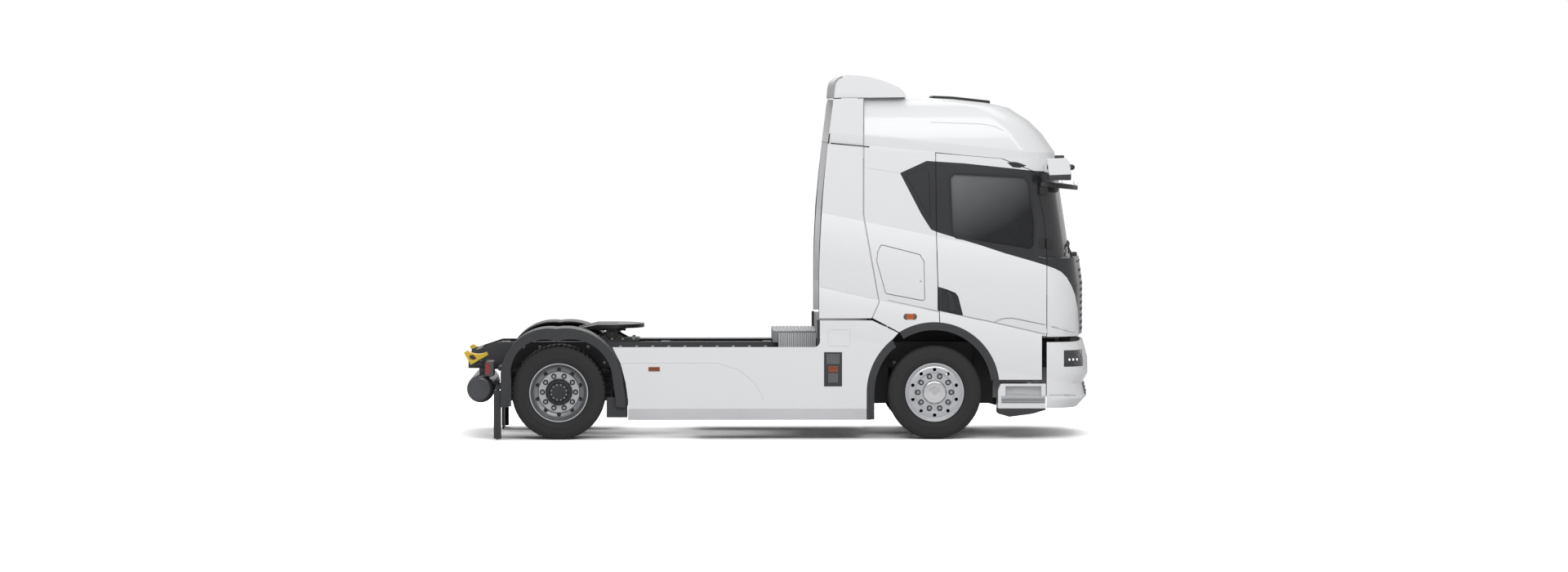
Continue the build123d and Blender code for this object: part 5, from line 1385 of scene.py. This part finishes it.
# name, x, y and z ranges, edge
guard_blocks = (
    ("wheel_liner_rear", (0.955, 1.130), (0.490, 0.496), (0.330, 0.920), 0.002),
    ("wheel_liner_front", (2.000, 2.200), (0.490, 0.496), (0.330, 0.920), 0.002),
    ("flap_edge", (rear_x - 0.655, rear_x - 0.580), (1.185, 1.222), (0.012, 0.500), 0.006),
    ("skirt_end_panel", (-1.742, -1.530), (1.080, 1.200), (0.225, 0.430), 0.008),
    ("deck_end_post", (0.384, 0.411), (1.190, 1.238), (0.945, 1.213), 0.005),
)
for side, hand in hands:
    for name, body, outline in edge_lips:
        lip = side_plate(f"{name}_{hand}", side, outline, (1.2345, 1.2445), 0.002)
        placed(lip, body, grained_black)
    for guard_block in guard_blocks:
        fit_blocks(side, hand, "root", guard_block + ("dark_plastic", grained_black))
    fit_blocks(side, hand, "root", (
        "catwalk_side", (0.002, 0.386), (0.652, 0.657), (0.905, 1.058), 0.001,
        "aluminium_ribbed", tread_plate,
    ))
    rib = side_block(f"catwalk_ribs_{hand}", side, (-0.0055, 0.0055), (0.657, 0.663), (0.908, 1.055), 0.002)
    repeat(rib, row, rib_silver, Count=20, Start=(0.012, 0.0, 0.0), Step=(0.0192, 0, 0))
    placed(rib, "root")

# ---------------------------------------------------------------- bumper and headlamps
# A white moulded bumper with a black air intake, over steel arms; the lamps are dark clusters
# with three bright diode lenses to a side.
dress("bumper", white_lacquer, 0.010)
bumper_skin = skin_of("bumper")
intake_line = front_line(bumper_skin, ((-0.74, 0.492), (0.74, 0.492)))
intake_section = mirrored((-0.062, -0.004), (-0.060, 0.0025))
lay("bumper_intake", intake_line, intake_section, "root", grained_black, 0.002)
slat_section = mirrored((-0.009, -0.004), (-0.008, 0.006), (0.0, 0.009))
for index in range(3):
    height = 0.454 + 0.038 * index
    slat_line = front_line(bumper_skin, ((-0.72, height), (0.72, height)))
    lay(f"intake_slat_{index + 1}", slat_line, slat_section, "root", band_black)

# a thin grey strip along the bumper's side crease: painted shade in the fold
crease_section = mirrored((-0.0025, -0.004), (-0.002, 0.0008))
for side, hand in hands:
    crease_line = side_line(bumper_skin, ((2.73, 0.452), (3.00, 0.448)), side)
    lay(f"bumper_crease_{hand}", crease_line, crease_section, "root", grey_hatch_and_crease_shade)

lamp_dark = finish("lamp_dark", (0.030, 0.031, 0.034), 0.12, coat=0.9, cloud=(12.0, 0.3), grain=(200.0, 0.05))
diode = finish("diode_lens", (0.86, 0.87, 0.89), 0.08, coat=0.9, cloud=(40.0, 0.05), grain=(200.0, 0.05))
diode_shader = diode.node_tree.nodes["Principled BSDF"]
diode_shader.inputs["Emission Color"].default_value = (0.9, 0.95, 1.0, 1)
diode_shader.inputs["Emission Strength"].default_value = 0.5
lamp_lens = finish(
    "lamp_lens", (0.10, 0.103, 0.11), 0.10, metallic=0.3, coat=0.9, cloud=(40.0, 0.2),
    grain=(200.0, 0.05),
)
dress("headlamps", lamp_dark, 0.004)
lamp_skin = skin_of("headlamps")
day_section = mirrored((-0.007, -0.003), (-0.006, 0.002))
for side, hand in hands:
    for index in range(3):
        x = 2.935 + 0.040 * index
        spot = side_line(lamp_skin, ((x, 0.806), (x + 0.001, 0.806)), side)[0]
        lens = dome(f"side_diode_{index + 1}_{hand}", *spot, 0.0125, 0.004)
        placed(lens, "root", diode)
    for index in range(2):
        y = side * (1.02 + 0.075 * index)
        spot = front_line(lamp_skin, ((y, 0.838), (y + 0.001, 0.838)))[0]
        lens = dome(f"main_lens_{index + 1}_{hand}", *spot, 0.024, 0.004)
        placed(lens, "root", lamp_lens)
    day_line = front_line(lamp_skin, ((side * 0.97, 0.762), (side * 1.17, 0.762)))
    lay(f"day_lamp_{hand}", day_line, day_section, "root", lamp_lens)

# ---------------------------------------------------------------- entry steps
# Moulded step boxes bolted to the frame, white above and black below, each with a ribbed
# aluminium tread, a silver-grey back and a nosing with black lines.
step_silver = finish(
    "step_silver", (0.66, 0.665, 0.67), 0.36, metallic=0.2, coat=0.2, cloud=(3.0, 0.05),
    grain=(200.0, 0.06),
)
step_zone = prism("step_zone", ((2.0, 0.315), (2.9, 0.315), (2.9, 0.62), (2.0, 0.62)), -1.5, 1.5)
for name, work, slot_name, material in (
    ("entry_steps_upper", "INTERSECT", "white_paint", white_lacquer),
    ("entry_steps_lower", "DIFFERENCE", "dark_plastic", grained_black),
):
    piece = cut(joined_copy("entry_steps", name), step_zone, work, True)
    stand_in(piece, "entry_steps", material, 0.004)
bpy.data.objects.remove(step_zone)
step_width = (0.96, 1.2415)
nosing_section = mirrored((-0.040, -0.004), (-0.038, 0.003))
for side, hand in hands:
    fit_blocks(side, hand, "root", (
        "step_tread", (2.292, 2.648), step_width, (0.4305, 0.4365), 0.002, "aluminium_ribbed", tread_plate,
    ))
    y_low, y_high = sorted(side * y for y in step_width)
    rib = block(f"step_ribs_{hand}", (-0.004, y_low + 0.006, 0.0), (0.004, y_high - 0.004, 0.004), 0.001)
    repeat(rib, row, polished, Count=16, Start=(2.305, 0.0, 0.4365), Step=(0.022, 0, 0))
    placed(rib, "root")
    fit_blocks(
        side, hand, "root",
        ("step_back", (2.285, 2.655), (1.150, 1.160), (0.425, 0.545), 0.002, "grey_metal", step_silver),
        ("step_back_pad", (2.365, 2.510), (1.160, 1.166), (0.455, 0.530), 0.003, "grey_metal", step_silver),
    )
    nosing_line = [(Vector((x, side * 1.2405, 0.405)), Vector((0, side, 0))) for x in (2.245, 2.47, 2.69)]
    lay(
        f"step_nosing_{hand}", nosing_line, nosing_section, "root", rim_silver, 0.001,
    )
    lines = side_block(f"nosing_ribs_{hand}", side, (2.25, 2.685), (1.243, 1.2448), (-0.0025, 0.0025), 0)
    repeat(lines, row, grained_black, Count=4, Start=(0.0, 0.0, 0.377), Step=(0, 0, 0.012))
    placed(lines, "root")

# ---------------------------------------------------------------- seats and bunk
# Air-sprung seats and a bunk mattress: foam in woven charcoal cloth with sewn channels. Each
# pad is blown up a little in its cover, as filled foam is.
seat_cloth = bpy.data.materials.new("seat_cloth")
seat_cloth.use_nodes = True
cloth_nodes = Nodes(seat_cloth.node_tree)
cloth_shader = seat_cloth.node_tree.nodes["Principled BSDF"]
cloth_shader.inputs["Roughness"].default_value = 0.9
cloth_shader.inputs["Sheen Weight"].default_value = 0.25
cloth_place = cloth_nodes.add("ShaderNodeTexCoord", out="Object")
warp = cloth_nodes.add("ShaderNodeTexWave", {"bands_direction": "X"}, {"Vector": cloth_place, "Scale": 160.0})
weft = cloth_nodes.add("ShaderNodeTexWave", {"bands_direction": "Z"}, {"Vector": cloth_place, "Scale": 160.0})
weave = warp * 0.5 + weft * 0.5
fade = cloth_nodes.noise(cloth_place, 9.0, 3.0)
cloth_nodes.feed(
    cloth_nodes.mix(weave * 0.6 + fade * 0.4, (0.030, 0.031, 0.035, 1), (0.13, 0.134, 0.145, 1)),
    cloth_shader.inputs["Base Color"],
)
cloth_nodes.feed(
    cloth_nodes.add("ShaderNodeBump", None, {"Strength": 0.5, "Distance": 0.0008, "Height": weave}),
    cloth_shader.inputs["Normal"],
)
soft_plastic = finish("cabin_plastic", (0.15, 0.152, 0.158), 0.62, cloud=(3.0, 0.1), grain=(260.0, 0.35))

cloth_frames, swell = 20, 0.010
channel_half, channel_depth = 0.016, 0.010


def pad(name, size, place, tilt, voxel, channels):
    """A filled pad: rounded block, blown up as cloth, sewn along its channels, then set in place."""
    half = [extent / 2 - swell for extent in size]

    def build(shape):
        bmesh.ops.create_cube(shape, size=2.0)
        for vert in shape.verts:
            vert.co = Vector([vert.co[axis] * half[axis] for axis in range(3)])
        bmesh.ops.bevel(
            shape, geom=shape.edges[:], offset=min(half) * 0.7, segments=4, profile=0.6,
            affect="EDGES",
        )

    piece = solid(name, build)
    remesh = piece.modifiers.new("skin", "REMESH")
    remesh.mode = "VOXEL"
    remesh.voxel_size = voxel
    settle(piece)
    rest = [vert.co.copy() for vert in piece.data.vertices]
    cloth = piece.modifiers.new("cloth", "CLOTH")
    cloth.settings.use_pressure = True
    cloth.settings.uniform_pressure_force = 4.0
    cloth.settings.effector_weights.gravity = 0.0
    cloth.settings.quality = 5
    cloth.point_cache.frame_end = cloth_frames
    for moment in range(1, cloth_frames + 1):
        scene.frame_set(moment)
    settle(piece)
    scene.frame_set(1)
    for vert, start in zip(piece.data.vertices, rest):
        move = vert.co - start
        if move.length > swell:
            vert.co = start + move.normalized() * swell
    for axis, at, along in channels:
        for vert in piece.data.vertices:
            if abs(vert.co[along]) > half[along] * 0.93:
                continue
            away = abs(vert.co[axis] - at)
            if away < channel_half:
                sink = channel_depth * (0.5 + 0.5 * cos(pi * away / channel_half))
                vert.co -= Vector([0.0, 0.0, sink if vert.co.z > 0 else 0.0])
    smooth = piece.modifiers.new("smooth", "SUBSURF")
    smooth.levels = 1
    smooth.render_levels = 1
    settle(piece)
    piece.data.shade_smooth()
    piece.data.transform(Matrix.Translation(place) @ Matrix.Rotation(tilt, 4, "Y"))
    placed(piece, "cab", seat_cloth)
    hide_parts("seats_and_bunk")


# channels as (axis across, place on it, axis they run along)
cushion_channels = ((1, -0.13, 0), (1, 0.13, 0), (0, 0.05, 1))
back_channels = ((1, -0.12, 0), (1, 0.12, 0), (0, -0.02, 1), (0, 0.14, 1))
mattress_channels = tuple((1, -0.84 + 0.42 * index, 0) for index in range(5))
for side, hand in hands:
    y = side * 0.64
    for name, size, x, z, tilt, voxel, channels in (
        ("seat_cushion", (0.47, 0.48, 0.118), 2.085, 1.872, -1.5, 0.008, cushion_channels),
        ("seat_back", (0.50, 0.45, 0.115), 1.868, 2.185, -104, 0.008, back_channels),
        ("headrest", (0.125, 0.27, 0.095), 1.783, 2.503, -102, 0.007, ()),
    ):
        pad(f"{name}_{hand}", size, (x, y, z), radians(tilt), voxel, channels)
pad("bunk_mattress", (0.555, 2.24, 0.145), (1.24, 0.0, 2.028), 0.0, 0.020, mattress_channels)
dress("cab_interior", soft_plastic, 0.008)
dress("bunk_base", soft_plastic, 0.006)
for name, low, high in (
    ("instrument_screen", (2.553, 0.50, 1.985), (2.568, 0.80, 2.075)),
    ("centre_screen", (2.512, 0.02, 1.905), (2.532, 0.30, 2.035)),
):
    placed(block(name, low, high, 0.004), "cab", band_black)
